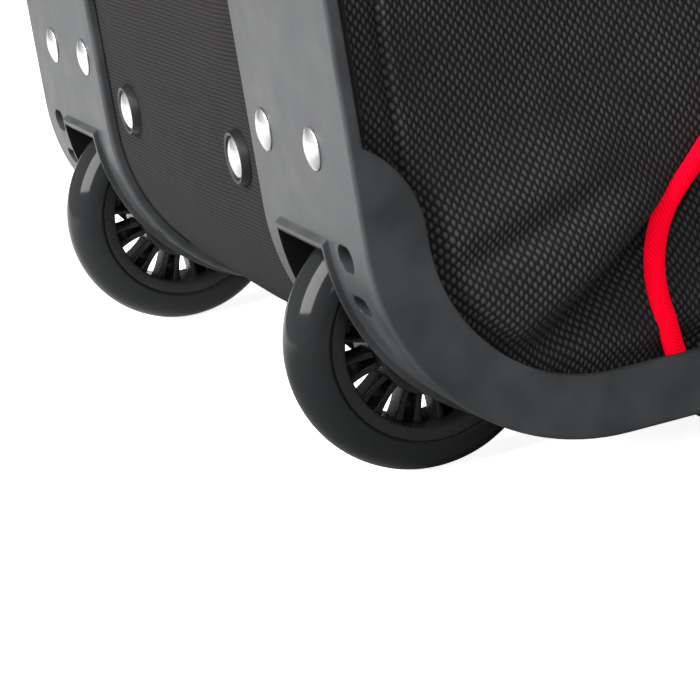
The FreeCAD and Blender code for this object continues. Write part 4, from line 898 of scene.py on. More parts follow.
def end_swell(y, z, wheel):
    """How far an end wall stands out: a low pillow with a few wrinkles, flat under what is sewn on it."""
    inner = 1 - eased(np.abs(y), 100 * MM, 165 * MM)
    wrinkle = np.sin(y / (27 * MM) + 1.8 * np.sin(z / (38 * MM))) * np.sin(z / (29 * MM))
    high = eased(z, 165 * MM, 200 * MM) * (1 - eased(z, 315 * MM, 335 * MM))
    sewn = bell(z, 262 * MM, 34 * MM) if wheel else bell(z, 285 * MM, 36 * MM)
    return (2.6 * MM + 0.9 * MM * wrinkle) * inner * high * (1 - sewn)


def plan_loop(side_shares, end_shares, corner_steps):
    """Columns round a box with rounded corners, from the wheel end along the right side and on round.
    At corner radius r a column's point is its place plus r times its lean: a straight side gives up r at
    each end, and a corner turns from one side's outward direction to the next."""
    corners = np.array([(-1, 1), (1, 1), (1, -1), (-1, -1)]) * (half_long, WALL_Y)
    turn = np.linspace(0, np.pi / 2, corner_steps + 2)[1:-1, None]
    places, leans, outs = [], [], []
    for i, shares in enumerate((side_shares, end_shares, 1 - side_shares[::-1], end_shares)):
        a, b = corners[i], corners[(i + 1) % 4]
        way = (b - a) / np.linalg.norm(b - a)
        out = np.array([-way[1], way[0]])
        f = shares[:, None]
        ring = out * np.cos(turn) + way * np.sin(turn)
        places += [a + (b - a) * f, np.broadcast_to(b, ring.shape)]
        leans += [way * (1 - 2 * f), ring - out - way]
        outs += [np.broadcast_to(out, (len(f), 2)), ring]
    return np.concatenate(places), np.concatenate(leans), np.concatenate(outs)


def corner_radius(z):
    """The upright corners' radius: tight in the frame, eased to soft from 135 to 250 mm up."""
    return TIGHT_CORNER + (SOFT_CORNER - TIGHT_CORNER) * eased(z, 135 * MM, 250 * MM)


def outline_foot(x):
    """The lower edge of a side wall: the floor's level, plus r - sqrt(r^2 - d^2) at a depth d into either
    rounded end of radius r."""
    in_wheel = np.clip(wheel_end + WHEEL_BEND - x, 0, WHEEL_BEND)
    in_handle = np.clip(x - handle_end + HANDLE_BEND, 0, HANDLE_BEND)
    wheel_rise = WHEEL_BEND - np.sqrt(WHEEL_BEND**2 - in_wheel**2)
    handle_rise = HANDLE_BEND - np.sqrt(HANDLE_BEND**2 - in_handle**2)
    return floor_low + wheel_rise + handle_rise


FLOAT_STEP = 2.28 * MM
ROW_STEP = 1.5 * MM


def weave_group():
    """Ballistic nylon at (along, up) in metres. Height is (1 - (4 a)^2 - (2.9 b)^2)^0.6 over oval yarn
    floats, where a is the distance along from a float's middle in steps and b the distance up in pairs of
    rows. Every second row is shifted half a step, and slow noise sways the rows. Fibre is fine streaks
    across the floats, and Fleck the slow noise."""
    effect = Effect("ballistic_weave", {"Place": "Vector"}, ("Height", "Fibre", "Fleck"))
    where = effect.given["Place"]
    place = effect.parts(where)
    drift = effect.noise(where, 60.0, 2.0, 0.5)
    sway = effect.math("MULTIPLY", effect.math("SUBTRACT", drift, 0.5), 1.3)
    rows = effect.math("ADD", effect.math("MULTIPLY", place["Y"], 1 / ROW_STEP), sway)
    columns = effect.math("MULTIPLY", place["X"], 1 / FLOAT_STEP)
    columns = effect.math("ADD", columns, effect.math("MULTIPLY", sway, 0.6))
    pairs = effect.math("MULTIPLY", rows, 0.5)
    height = 0.0
    for shift in (0.0, 0.5):
        squares = []
        for share, reach in ((columns, 4.0), (pairs, 2.9)):
            off = effect.math("SUBTRACT", effect.math("FRACT", effect.math("ADD", share, shift)), 0.5)
            scaled = effect.math("ABSOLUTE", effect.math("MULTIPLY", off, reach))
            squares.append(effect.math("POWER", scaled, 2.0))
        height = effect.math("MAXIMUM", effect.math("SUBTRACT", 1.0, effect.math("ADD", *squares)), height)
    fibres = effect.add("ShaderNodeMapping", {"Vector": where, "Scale": (9000.0, 900.0, 1.0)})
    effect.feed(effect.made["Height"], effect.math("POWER", height, 0.6))
    effect.feed(effect.made["Fibre"], effect.noise(fibres.outputs["Vector"], 1.0, 2.0, 0.5))
    effect.feed(effect.made["Fleck"], drift)
    return effect.tree


shell_finish = Finish("shell_fabric")
weave = shell_finish.add("ShaderNodeGroup", {"Place": shell_finish.cloth_place()}, node_tree=weave_group())
fibre = shell_finish.spread(weave.outputs["Fibre"], 0.3, 0.7, 0.55, 1.0)
fleck = shell_finish.spread(weave.outputs["Fleck"], 0.3, 0.7, 0.7, 1.15)
shine = shell_finish.math("MULTIPLY", weave.outputs["Height"], shell_finish.math("MULTIPLY", fibre, fleck))
shell_finish.set(
    Base_Color=shell_finish.mix(shine, (0.0050, 0.0047, 0.0049), (0.076, 0.076, 0.078)),
    Roughness=shell_finish.spread(shine, 0.0, 1.0, 0.82, 0.52),
    Specular_IOR_Level=0.3,
    Sheen_Weight=0.03,
    Sheen_Roughness=0.4,
    Normal=shell_finish.bump(weave.outputs["Height"], 0.4 * MM, 0.9),
)

# Columns lie close beside the seam and over the folds, and rows from the floor to above the housing.
by_seam = [-23.0, -20.0, -17.5, -15.6, -14.3, -13.6, -13.0, -12.3, -11.0, -9.0]
by_folds = np.concatenate([by_seam, np.arange(-6.5, 92, 2.1), np.arange(95, 130, 4.0)]) * MM
by_folds = by_folds + AXLE_X - wheel_end
beyond = np.arange(by_folds[-1] + 6 * MM, 2 * half_long - 3 * MM, 7.5 * MM)
side_shares = np.concatenate([[0.0], by_folds, beyond, [2 * half_long]]) / (2 * half_long)
place, lean, out = plan_loop(side_shares, np.linspace(0.0, 1.0, 42), 7)
row_heights = np.concatenate([
    np.arange(floor_low, 136 * MM, 2.1 * MM), np.arange(138 * MM, 168 * MM, 4 * MM),
    np.arange(168 * MM, 285 * MM, 6 * MM), np.arange(285 * MM, 316 * MM, 3 * MM),
    np.arange(316 * MM, WALL_TOP - 3 * MM, 6 * MM), [WALL_TOP],
    np.arange(WALL_TOP + 6 * MM, 376 * MM, 7 * MM), [base_high[2], LID_EDGE],
])
row_heights = np.unique(np.round(row_heights, 6))
tight = place + TIGHT_CORNER * lean
on_end = np.abs(out[:, 0]) > 0.72
end_foot = np.where(tight[:, 0] < 0, base_high[2], BASE_TOP_HANDLE)
foot = np.where(on_end, end_foot, outline_foot(np.clip(tight[:, 0] + mid_long, wheel_end, handle_end)))
soft = place + SOFT_CORNER * lean
head = np.where(soft[:, 0] + mid_long < wheel_end + SOFT_CORNER + 0.5 * MM, LID_EDGE, WALL_TOP)
z = np.clip(row_heights[:, None], foot[None, :], head[None, :])
plan = place[None] + corner_radius(z)[..., None] * lean[None]
x, y = plan[..., 0] + mid_long, plan[..., 1]
sideways = np.abs(out[:, 1])[None, :] ** 2
side_out = np.where(out[None, :, 1] > 0, wall_swell(x, z, 1), wall_swell(x, z, -1)) * sideways
end_out = np.where(out[None, :, 0] < 0, end_swell(y, z, True), end_swell(y, z, False)) * (1 - sideways)
swell = side_out + end_out
stand = swell + seam_dip(x, z) * sideways
shell_points = np.stack([x + out[None, :, 0] * stand, y + out[None, :, 1] * stand, z], axis=-1)
loop_step = np.linalg.norm(soft - np.roll(soft, 1, axis=0), axis=1)
loop_step[0] = 0.0
loop_along = np.broadcast_to(np.cumsum(loop_step)[None, :], z.shape)
fall = np.linalg.norm(np.diff(shell_points, axis=0), axis=2)[::-1]
fall = np.concatenate([np.zeros((1, len(place))), np.cumsum(fall, axis=0)])[::-1]
shell_uv = np.stack([loop_along + 0.25 * swell, head[None, :] - fall], axis=-1)


def clear_of_eyelets(middle):
    """Faces outside the eyelets' barrels."""
    gaps = [np.hypot(middle[:, 0] - ex, middle[:, 2] - ez) for ex, ez in EYELETS]
    return (np.min(gaps, axis=0) > 6.6 * MM) | (np.abs(middle[:, 1]) < WALL_Y - 20 * MM)


shell = cloth_shell(
    "bag_shell", shell_points, shell_uv, shell_finish, WALL_THICK, (mid_long, 0.0, 0.2), clear_of_eyelets,
    wrap=True,
)
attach(shell, "bag")
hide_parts("side_panel_left", "side_panel_right", "wheel_end_panel", "handle_end_panel")

# ---------------------------------------------------------------- side piping
# Red welts sewn along both sides: twill tape folded round a cord, with a painted glow that is strong
# towards the camera and faint elsewhere. Each comes up out of the guard band by the wheel, sweeps back
# and along the bag, and goes down again at the far end. Pulled tight, it bridges the folds and sinks
# into the cloth between them.

PIPING_RADIUS = 3.0 * MM
PIPING_SINK = 2.6 * MM
SWEEP = [(64.5, -18.5), (59.9, -12.4), (51.0, 23.4), (112.0, 86.5), (190.0, 112.0), (740.0, 112.0)]
SWEEP_BENDS = [20.0, 38.0, 90.0, 260.0, 60.0]
SWEEP_FOOT = 800 * MM


def rounded_route(corners, bends, spacing):
    """An open route of straight runs joined by tangent arcs, one bend radius for each inner corner."""
    corners = np.asarray(corners, dtype=float)
    route = [corners[:1]]
    for before, corner, after, bend in zip(corners, corners[1:], corners[2:], bends):
        into = (corner - before) / np.linalg.norm(corner - before)
        out = (after - corner) / np.linalg.norm(after - corner)
        turn = math.acos(np.clip(into @ out, -1, 1))
        inward = (out - into) / np.linalg.norm(out - into)
        centre = corner + inward * bend / math.cos(turn / 2)
        a = np.linspace(-turn / 2, turn / 2, 12)[:, None]
        tangent = (into + out) / np.linalg.norm(into + out)
        route.append(centre - inward * bend * np.cos(a) + tangent * bend * np.sin(a))
    route.append(corners[-1:])
    return evenly(np.concatenate(route), spacing)


def tube(route, radius, around=16):
    """(points, faces, uv) of a round tube along a route, narrowed at both ends: route + r (u cos a +
    v sin a), with (length, girth) as cloth coordinates. u is square to the heading and to Y or Z, whichever
    the route keeps to least."""
    heading = headings(route)
    flat = (0.0, 1.0, 0.0) if np.ptp(route[:, 1]) < np.ptp(route[:, 2]) else (0.0, 0.0, 1.0)
    first = np.cross(heading, flat)
    first = first / np.linalg.norm(first, axis=1)[:, None]
    second = np.cross(heading, first)
    a = np.linspace(0, 2 * np.pi, around, endpoint=False)
    ends = np.ones(len(route))
    ends[[0, -1]] = 0.55
    r = (radius * ends)[:, None, None]
    ring = first[:, None] * np.cos(a)[None, :, None] + second[:, None] * np.sin(a)[None, :, None]
    points, faces = loops_solid(route[:, None] + r * ring)
    along = np.broadcast_to(lengths_along(route)[:, None], (len(route), around))
    girth = np.broadcast_to((a * radius)[None, :], along.shape)
    return points, faces, np.stack([along, girth], axis=-1).reshape(-1, 2)


piping_finish = Finish("red_piping")
place = piping_finish.cloth_place()
apart = piping_finish.parts(place)
slant = piping_finish.math("ADD", apart["X"], piping_finish.math("MULTIPLY", apart["Y"], 0.75))
cross = piping_finish.math("SUBTRACT", apart["X"], piping_finish.math("MULTIPLY", apart["Y"], 1.3))
ridge = piping_finish.wave(slant, 1.3 * MM)
thread = piping_finish.math("MULTIPLY", piping_finish.wave(cross, 0.62 * MM), 0.35)
twill = piping_finish.spread(piping_finish.math("ADD", ridge, thread), -1.35, 1.35)
piping_shade = piping_finish.math(
    "MULTIPLY",
    piping_finish.spread(twill, 0.0, 0.7, 0.55, 1.0),
    piping_finish.spread(piping_finish.noise(place, 90.0), 0.3, 0.7, 0.85, 1.0),
)
# Painted glow: the piping and lid welt give off red light of their own, strong to the camera and faint to
# their surroundings.
painted_glow_to_camera = piping_finish.add("ShaderNodeLightPath").outputs["Is Camera Ray"]
piping_finish.set(
    Base_Color=piping_finish.mix(piping_shade, (0.82, 0.0, 0.010), (1.0, 0.0, 0.024)),
    Roughness=0.7,
    Normal=piping_finish.bump(twill, 0.3 * MM, 0.9),
    Specular_IOR_Level=0.05,
    Emission_Color=(1.0, 0.0, 0.016),
    Emission_Strength=piping_finish.math(
        "MULTIPLY", piping_shade, piping_finish.spread(painted_glow_to_camera, 0.0, 1.0, 0.02, 0.62)
    ),
)


def on_wall(route, sign, lift):
    """A route in the XZ plane laid on a side wall's outer face, lifted off it."""
    x, z = route[:, 0], route[:, 1]
    return np.stack([x, sign * (WALL_Y + wall_swell(x, z, sign) + lift), z], axis=1)


sweep_plan = [(AXLE_X + run * MM, AXLE_Z + rise * MM) for run, rise in SWEEP]
sweep_plan.append((AXLE_X + SWEEP_FOOT, floor_low + 2 * MM))
sweep_route = rounded_route(sweep_plan, [bend * MM for bend in SWEEP_BENDS], 2.4 * MM)
under_band = (1 - eased(sweep_route[:, 1] - AXLE_Z, -12 * MM, 2 * MM)) * (sweep_route[:, 0] < 0)
for side, sign in SIDES.items():
    route = on_wall(sweep_route, sign, PIPING_RADIUS - 0.3 * MM)
    resting = sign * route[:, 1] - PIPING_SINK
    for _ in range(60):
        route[1:-1, 1] = (route[:-2, 1] + route[1:-1, 1] + route[2:, 1]) / 3
    route[:, 1] = sign * np.maximum(sign * route[:, 1], resting)
    route[:, 1] -= sign * under_band * 1.6 * MM
    points, faces, cloth = tube(route, PIPING_RADIUS)
    piping = outwards(made_of(f"side_welt_{side}", points, faces, piping_finish, cloth))
    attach(piping, "bag")
    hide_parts(f"side_piping_{side}")

# ---------------------------------------------------------------- lid
# One black ballistic nylon panel over thin foam, with a skirt turned down round three sides to the zip. It
# hangs from the wheel end's top seam, is edged by a red welt and sinks a little in the middle.

LID_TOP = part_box("lid_panel")[1][2]
SKIRT_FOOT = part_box("lid_gusset")[0][2]
LID_ROUND = 8.0 * MM
LID_WELT = 2.5 * MM
LID_WELT_INSET = 6.0 * MM
LID_WELT_BEND = 16.0 * MM
pane_low, pane_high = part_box("name_window")
pane_x = (pane_low[0] + pane_high[0]) / 2


def lid_sag(x, y):
    """How far the lid's top lies from its flat plane: a shallow sink between the edges with slow waves, and
    none of it under the name window."""
    inner = eased(WALL_Y - np.abs(y), 16 * MM, 90 * MM)
    ends = eased(x, wheel_end + 8 * MM, wheel_end + 90 * MM)
    ends = ends * (1 - eased(x, handle_end - 90 * MM, handle_end - 16 * MM))
    wave = np.sin(x / (71 * MM) + 1.5 * np.sin(y / (62 * MM))) + 0.6 * np.sin((x * 0.7 + y) / (33 * MM))
    window = 1 - eased(np.hypot((x - pane_x) / 1.35, y), 45 * MM, 85 * MM)
    return inner * ends * (-3.2 * MM + 1.5 * MM * wave) * (1 - window)


# Rings from the skirt's foot up, round the edge and in over the top: how far in, and how high.
over_edge = np.radians([0, 12, 25, 40, 55, 72, 90])
inwards = np.concatenate([
    [12 * MM, 17 * MM], np.arange(25 * MM, 168 * MM, 8 * MM), [172.5 * MM, WALL_Y],
])
insets = np.concatenate([[0.0, 0.0], LID_ROUND * (1 - np.cos(over_edge)), inwards])
edge_height = LID_TOP - LID_ROUND + LID_ROUND * np.sin(over_edge)
ring_height = np.concatenate([
    [SKIRT_FOOT, SKIRT_FOOT + 3.5 * MM], edge_height, np.full(len(inwards), LID_TOP),
])
lid_shares = np.linspace(0, 1, 112)
place, lean, out = plan_loop(lid_shares, np.linspace(0, 1, 44), 7)
shrink_x, shrink_y = 1 - insets[:, None] / half_long, 1 - insets[:, None] / WALL_Y
radius = (np.maximum(SOFT_CORNER - insets, 0.8 * MM) * (insets < WALL_Y - 1 * MM))[:, None]
x = place[None, :, 0] * shrink_x + radius * lean[None, :, 0] + mid_long
y = place[None, :, 1] * shrink_y + radius * lean[None, :, 1]
hinge_side = eased(-x, -wheel_end - SOFT_CORNER - 3 * MM, -wheel_end - SOFT_CORNER)
z = np.maximum(ring_height[:, None], (LID_EDGE + 0.3 * MM) * hinge_side)
z = z + lid_sag(x, y) * (ring_height[:, None] > LID_TOP - 1e-6)
lid_points = np.stack([x, y, z], axis=-1)
skirt_run = lengths_along(np.stack([insets, ring_height], axis=1))[:, None]
down_side = np.broadcast_to(skirt_run, x.shape)
on_side = np.abs(out[None, :, 1]) > 0.72
from_top = np.where(on_side, np.sign(out[None, :, 1]) * (0.3 - down_side), y)
lid_uv = np.stack([x, from_top], axis=-1)
lid = cloth_shell(
    "lid_shell", lid_points, lid_uv, shell_finish, 2.2 * MM, (mid_long, 0.0, 0.2), wrap=True
)
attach(lid, "lid")
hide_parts("lid_panel", "lid_gusset")

welt_x = (wheel_end + 12 * MM, handle_end - LID_WELT_INSET)
welt_y = WALL_Y - LID_WELT_INSET
welt_plan = [(welt_x[0], -welt_y), (welt_x[1], -welt_y), (welt_x[1], welt_y), (welt_x[0], welt_y)]
welt_plan = rounded_route(welt_plan, [LID_WELT_BEND] * 2, 3.0 * MM)
welt_route = np.column_stack([welt_plan, np.full(len(welt_plan), LID_TOP + LID_WELT - 0.6 * MM)])
points, faces, cloth = tube(welt_route, LID_WELT, 12)
welt = outwards(made_of("lid_welt", points, faces, piping_finish, cloth))
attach(welt, "lid")
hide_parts("lid_piping")

# ---------------------------------------------------------------- lid hinge strip
# A strip of the same nylon sewn over the wheel end's top seam: the lid's cloth hinge. It is sewn flat to
# both, bends round the edge between them, and rucks a little where it turns.

over_edge = np.radians(np.linspace(0, 90, 9))
strip_bend = np.stack(
    [wheel_end + 3.2 * MM - 4.2 * MM * np.cos(over_edge), LID_TOP - 3.4 * MM + 4.2 * MM * np.sin(over_edge)],
    axis=1,
)
strip_path = np.concatenate([
    [(wheel_end - 0.6 * MM, LID_EDGE - 9 * MM), (wheel_end - 0.8 * MM, LID_EDGE - 5 * MM)],
    strip_bend,
    [(wheel_end + 7 * MM, LID_TOP + 0.7 * MM), (wheel_end + 11 * MM, LID_TOP + 0.5 * MM)],
])
strip_path = evenly(strip_path, 1.0 * MM)
y = np.linspace(-WALL_Y + 17 * MM, WALL_Y - 17 * MM, 90)
x = np.broadcast_to(strip_path[:, :1], (len(strip_path), len(y)))
ruck = 0.25 * MM * np.sin(y[None, :] / (9 * MM)) * bell(strip_path[:, 1:], LID_EDGE, 4 * MM)
z = strip_path[:, 1:] + ruck
strip_points = np.stack([x, np.broadcast_to(y[None, :], x.shape), z], axis=-1)
up_strip = np.broadcast_to(lengths_along(strip_path)[:, None], x.shape)
strip_uv = np.stack([strip_points[..., 1], up_strip], axis=-1)
strip = cloth_shell("lid_hinge_strip", strip_points, strip_uv, shell_finish, 0.7 * MM, (0.0, 0.0, 0.2))
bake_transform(strip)

# ---------------------------------------------------------------- zip
# A heavy moulded zip round three sides: two rows of black teeth on woven tapes, one on the bag and one on
# the lid, with two nickel sliders on the left side and their pull tabs.

TOOTH_STEP = 2.6 * MM
TOOTH_OFFSET = 1.5 * MM
ZIP_INSET = 1.5 * MM
ZIP_MIDDLE = (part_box("zip_chain_bag")[1][2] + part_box("zip_chain_lid")[0][2]) / 2
TAPE_EDGE = 1.9 * MM
TAPE_FAR = 17.5 * MM
TAPE_DEPTH = 1.2 * MM
ZIP_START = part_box("zip_chain_bag")[0][0] + 7 * MM


def zip_route(inset, spacing):
    """The zip's line in plan: from the wheel end along the left side, round the far end and back."""
    y, x1 = WALL_Y - inset, handle_end - inset
    plan = [(ZIP_START, -y), (x1, -y), (x1, y), (ZIP_START, y)]
    return rounded_route(plan, [SOFT_CORNER - inset] * 2, spacing)


def carried(section, plan, heights):
    """(points, faces, uv) of a solid strip: a (depth, height) section carried along a line in plan, depth
    along its outward direction."""
    heading = headings(plan)
    section = np.asarray(section)
    x = plan[:, :1] + heading[:, 1:] * section[None, :, 0]
    y = plan[:, 1:] - heading[:, :1] * section[None, :, 0]
    z = np.broadcast_to(heights + section[None, :, 1], x.shape)
    along = np.broadcast_to(lengths_along(plan)[:, None], x.shape)
    points, faces = loops_solid(np.stack([x, y, z], axis=-1))
    return points, faces, np.stack([along, z], axis=-1).reshape(-1, 2)


def scattered(shape, shape_faces, centres, along, out):
    """(points, faces) of one small shape put at each centre: its x runs along, its z runs out."""
    shape, centres = np.asarray(shape), np.asarray(centres)
    along = np.broadcast_to(along, centres.shape)
    out = np.broadcast_to(out, centres.shape)
    across = np.cross(out, along)
    points = centres[:, None] + along[:, None] * shape[None, :, :1] + across[:, None] * shape[None, :, 1:2]
    points = points + out[:, None] * shape[None, :, 2:3]
    faces = np.asarray(shape_faces)[None] + (np.arange(len(centres)) * len(shape))[:, None, None]
    return points.reshape(-1, 3), faces.reshape(-1, np.asarray(shape_faces).shape[1]).tolist()


def block_shape(length, width, height, taper):
    """(points, faces) of a small block, narrowed at both ends: four rings of four points, closed."""
    xs = np.array([-0.5, -0.32, 0.32, 0.5]) * length
    shrink = np.array([taper, 1.0, 1.0, taper])
    square = np.array([(-0.5, -0.5), (0.5, -0.5), (0.5, 0.5), (-0.5, 0.5)])
    points = [(x, a * width * s, b * height * s) for x, s in zip(xs, shrink) for a, b in square]
    faces = grid_faces(4, 4, False, True).tolist() + [[0, 1, 2, 3], [15, 14, 13, 12]]
    return points, faces


tape_finish = Finish("zip_tape")
place = tape_finish.cloth_place()
apart = tape_finish.parts(place)
chevron = tape_finish.math("MULTIPLY", tape_finish.ridges(apart["Y"], 3.4907 * MM), 0.7143 * MM)
tape_rows = tape_finish.wave(tape_finish.math("ADD", apart["X"], chevron), 1.496 * MM)
tape_height = tape_finish.spread(tape_rows, -1.0, 1.0)
tape_finish.set(
    Base_Color=tape_finish.mix(tape_height, (0.006, 0.006, 0.006), (0.022, 0.022, 0.023)),
    Roughness=tape_finish.spread(tape_finish.noise(place, 200.0), 0.3, 0.7, 0.6, 0.8),
    Normal=tape_finish.bump(tape_height, 0.2 * MM, 0.7),
)
teeth_finish = moulded("zip_teeth", (0.010, 0.010, 0.010), (0.022, 0.022, 0.023), 0.3, 0.42, 900.0)
tooth, tooth_faces = block_shape(1.7 * MM, 3.2 * MM, 3.0 * MM, 0.7)
tape_plan, tooth_plan = zip_route(ZIP_INSET, 5 * MM), zip_route(ZIP_INSET, TOOTH_STEP)
level = np.zeros(len(tooth_plan))
heading = np.column_stack([headings(tooth_plan), level])
out = np.stack([heading[:, 1], -heading[:, 0], level], axis=1)
for body, way in (("bag", -1), ("lid", 1)):
    low, high = sorted((way * TAPE_EDGE, way * TAPE_FAR))
    half = TAPE_DEPTH / 2
    corners = [(-half, low), (half, low), (half, high), (-half, high)]
    points, faces, cloth = carried(rounded_profile(corners, 0.35 * MM, 3), tape_plan, ZIP_MIDDLE)
    tape = outwards(made_of(f"zip_tape_{body}", points, faces, tape_finish, cloth))
    seat = np.column_stack([tooth_plan, level + ZIP_MIDDLE + way * TOOTH_OFFSET])
    seat = seat + heading * TOOTH_STEP / 4 * way
    points, faces = scattered(tooth, tooth_faces, seat, heading, out)
    teeth = outwards(made_of(f"zip_teeth_{body}", points, faces, teeth_finish, smooth=False))
    for piece in (tape, teeth):
        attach(piece, body)
        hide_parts(f"zip_chain_{body}")
finish_nodes(nickel_finish, "zip_slider_rear", "zip_slider_front", "zip_pull_rear", "zip_pull_front")

# ---------------------------------------------------------------- webbing and carry handles
# Black woven webbing, 38 mm wide, sewn up both sides with boxed crosses. A loop of it hangs from each
# pair, free to swing up, with a padded wrap round the middle closed by a sewn seam.

CARRY_HINGE = 300 * MM
CARRY_BEND = 79 * MM
STITCH_STEP = 3.1 * MM
strap_low, strap_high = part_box("handle_webbing_right")
loop_low, loop_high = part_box("carry_loop_right")
web_thick = strap_high[1] - strap_low[1]
loop_thick = loop_high[1] - loop_low[1]
loop_foot = loop_low[2] + STRAP_WIDTH / 2

webbing_finish = Finish("webbing")
place = webbing_finish.cloth_place()
apart = webbing_finish.parts(place)
cord_row = webbing_finish.ridges(apart["Y"], 1.9 * MM)
slant = webbing_finish.math("ADD", apart["X"], webbing_finish.math("MULTIPLY", cord_row, 0.9 * MM))
pick = webbing_finish.ridges(slant, 1.25 * MM)
web_height = webbing_finish.math(
    "MULTIPLY",
    webbing_finish.spread(cord_row, 0.0, 1.0, 0.35, 1.0),
    webbing_finish.spread(pick, 0.0, 1.0, 0.5, 1.0),
)
web_drift = webbing_finish.noise(place, 80.0)
web_light = webbing_finish.math("MULTIPLY", web_height, web_drift)
webbing_finish.set(
    Base_Color=webbing_finish.mix(web_light, (0.004, 0.004, 0.004), (0.062, 0.062, 0.064)),
    Roughness=webbing_finish.spread(web_drift, 0.3, 0.7, 0.55, 0.72),
    Sheen_Weight=0.1,
    Normal=webbing_finish.bump(web_height, 0.35 * MM, 0.85),
)
thread_finish = Finish("black_thread")
where = thread_finish.object_place()
twist = thread_finish.noise(where, 900.0)
thread_finish.set(
    Base_Color=thread_finish.mix(twist, (0.018, 0.018, 0.019), (0.075, 0.075, 0.078)),
    Roughness=thread_finish.spread(thread_finish.noise(where, 400.0), 0.3, 0.7, 0.4, 0.6),
)


def ribbon(route, wide, out, width, thickness):
    """(points, faces, uv) of flat webbing: a rounded band section carried along a route, with its width
    and thickness directions given at each point."""
    corners = [(-width / 2, 0.0), (width / 2, 0.0), (width / 2, thickness), (-width / 2, thickness)]
    section = rounded_profile(corners, thickness * 0.42, 4)
    loops = route[:, None] + wide[:, None] * section[None, :, :1] + out[:, None] * section[None, :, 1:2]
    points, faces = loops_solid(loops)
    along = np.broadcast_to(lengths_along(route)[:, None], loops.shape[:2])
    over = np.broadcast_to(section[None, :, 0], loops.shape[:2])
    return points, faces, np.stack([along, over], axis=-1).reshape(-1, 2)


def boxed_cross(width, height, step):
    """Middles and directions of the stitches of a sewn box with both diagonals, in a plane."""
    corners = np.array([(-1, -1), (1, -1), (1, 1), (-1, 1)]) * (width / 2, height / 2)
    middles, ways = [], []
    for i, j in ((0, 1), (1, 2), (2, 3), (3, 0), (0, 2), (1, 3)):
        start, end = corners[i], corners[j]
        run = np.linalg.norm(end - start)
        t = (np.arange(int(run / step)) + 0.5)[:, None] * step / run
        middles.append(start + (end - start) * t)
        ways.append(np.broadcast_to((end - start) / run, middles[-1].shape))
    return np.concatenate(middles), np.concatenate(ways)


stitch, stitch_faces = block_shape(2.3 * MM, 0.8 * MM, 0.7 * MM, 0.45)
loop_plan = [(-STRAP_X, CARRY_HINGE), (-STRAP_X, loop_foot), (STRAP_X, loop_foot), (STRAP_X, CARRY_HINGE)]
loop_plan = rounded_route(loop_plan, [CARRY_BEND] * 2, 3.0 * MM)
for side, sign in SIDES.items():
    straps, seams = [], []
    outward = np.array([0.0, float(sign), 0.0])
    for strap_x in (-STRAP_X, STRAP_X):
        z = np.linspace(strap_low[2], strap_high[2], 48)
        lift = np.minimum(wall_swell(np.full_like(z, strap_x), z, sign) + 0.15 * MM, 0.2 * MM)
        route = np.stack([np.full_like(z, strap_x), sign * (strap_low[1] + lift), z], axis=1)
        wide = np.broadcast_to((1.0, 0.0, 0.0), route.shape)
        straps.append(ribbon(route, wide, np.broadcast_to(outward, route.shape), STRAP_WIDTH, web_thick))
        for middle_z, tall in ((strap_low[2] + 24 * MM, 38 * MM), (CARRY_HINGE - 36 * MM, 30 * MM)):
            middles, ways = boxed_cross(STRAP_WIDTH - 8 * MM, tall, STITCH_STEP)
            x, z = strap_x + middles[:, 0], middle_z + middles[:, 1]
            y = np.interp(z, route[:, 2], route[:, 1]) + sign * (web_thick + 0.02 * MM)
            ahead = np.stack([ways[:, 0], np.zeros(len(ways)), ways[:, 1]], axis=1)
            seams.append(scattered(stitch, stitch_faces, np.stack([x, y, z], axis=1), ahead, outward))
    points, faces = joined([strap[:2] for strap in straps])
    cloth = np.concatenate([strap[2] for strap in straps])
    webbing = outwards(made_of(f"sewn_webbing_{side}", points, faces, webbing_finish, cloth))
    stitching = outwards(made_of(f"webbing_stitches_{side}", *joined(seams), thread_finish))
    for piece in (webbing, stitching):
        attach(piece, "bag")
        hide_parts(f"handle_webbing_{side}")

    loop_y = np.full(len(loop_plan), sign * loop_low[1])
    route = np.stack([loop_plan[:, 0], loop_y, loop_plan[:, 1]], axis=1)
    wide = np.cross(headings(route), outward)
    out = np.broadcast_to(outward, route.shape)
    points, faces, cloth = ribbon(route, wide, out, STRAP_WIDTH, loop_thick)
    loop = outwards(made_of(f"carry_strap_{side}", points, faces, webbing_finish, cloth))
    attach(loop, f"carry_handle_{side}")
    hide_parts(f"carry_loop_{side}")

# ---------------------------------------------------------------- carry handle pads
# Soft foam wraps in black ballistic nylon round the middle of each loop: crowned, pinched at both bound
# ends, and closed by a line of stitches down the outer face.

grip_low, grip_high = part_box("carry_grip_right")
pad_half = grip_high[0]
pad_tall = (grip_high[2] - grip_low[2]) / 2
pad_deep = (grip_high[1] - grip_low[1]) / 2
pad_y = (grip_high[1] + grip_low[1]) / 2


def rounded_wave(value, power):
    """sign(v) |v|^power: a superellipse's coordinate from a cosine or sine."""
    return np.sign(value) * np.abs(value) ** power


# Section at t, -1 to 1 along: z = h |cos a|^0.62, y = d |sin a|^0.72. The depth d falls with |t|^3, steps
# in at the bindings and waves between them, and a seam sinks in below the middle of the outer face.
t = np.linspace(-1, 1, 61)[:, None]
a = np.linspace(0, 2 * np.pi, 48, endpoint=False)[None, :]
bound = 0.10 * eased(np.abs(t), 0.86, 0.90)
tip = eased(np.abs(t), 0.975, 1.0)
quilt = 0.035 * np.cos(2 * np.pi * t * 3.5) * (1 - eased(np.abs(t), 0.7, 0.85))
depth = pad_deep * (1 - 0.10 * np.abs(t) ** 3 - bound - 0.42 * tip + quilt)
height = pad_tall * (1 - 0.04 * np.abs(t) ** 2 - 0.5 * bound - 0.3 * tip)
upward = rounded_wave(np.cos(a), 0.62)
seam = 0.9 * MM * bell(upward, -0.1, 0.05) * (np.sin(a) > 0)
z = loop_foot + height * upward
x = np.broadcast_to(t * pad_half, z.shape)
y = pad_y + depth * rounded_wave(np.sin(a), 0.72) - seam
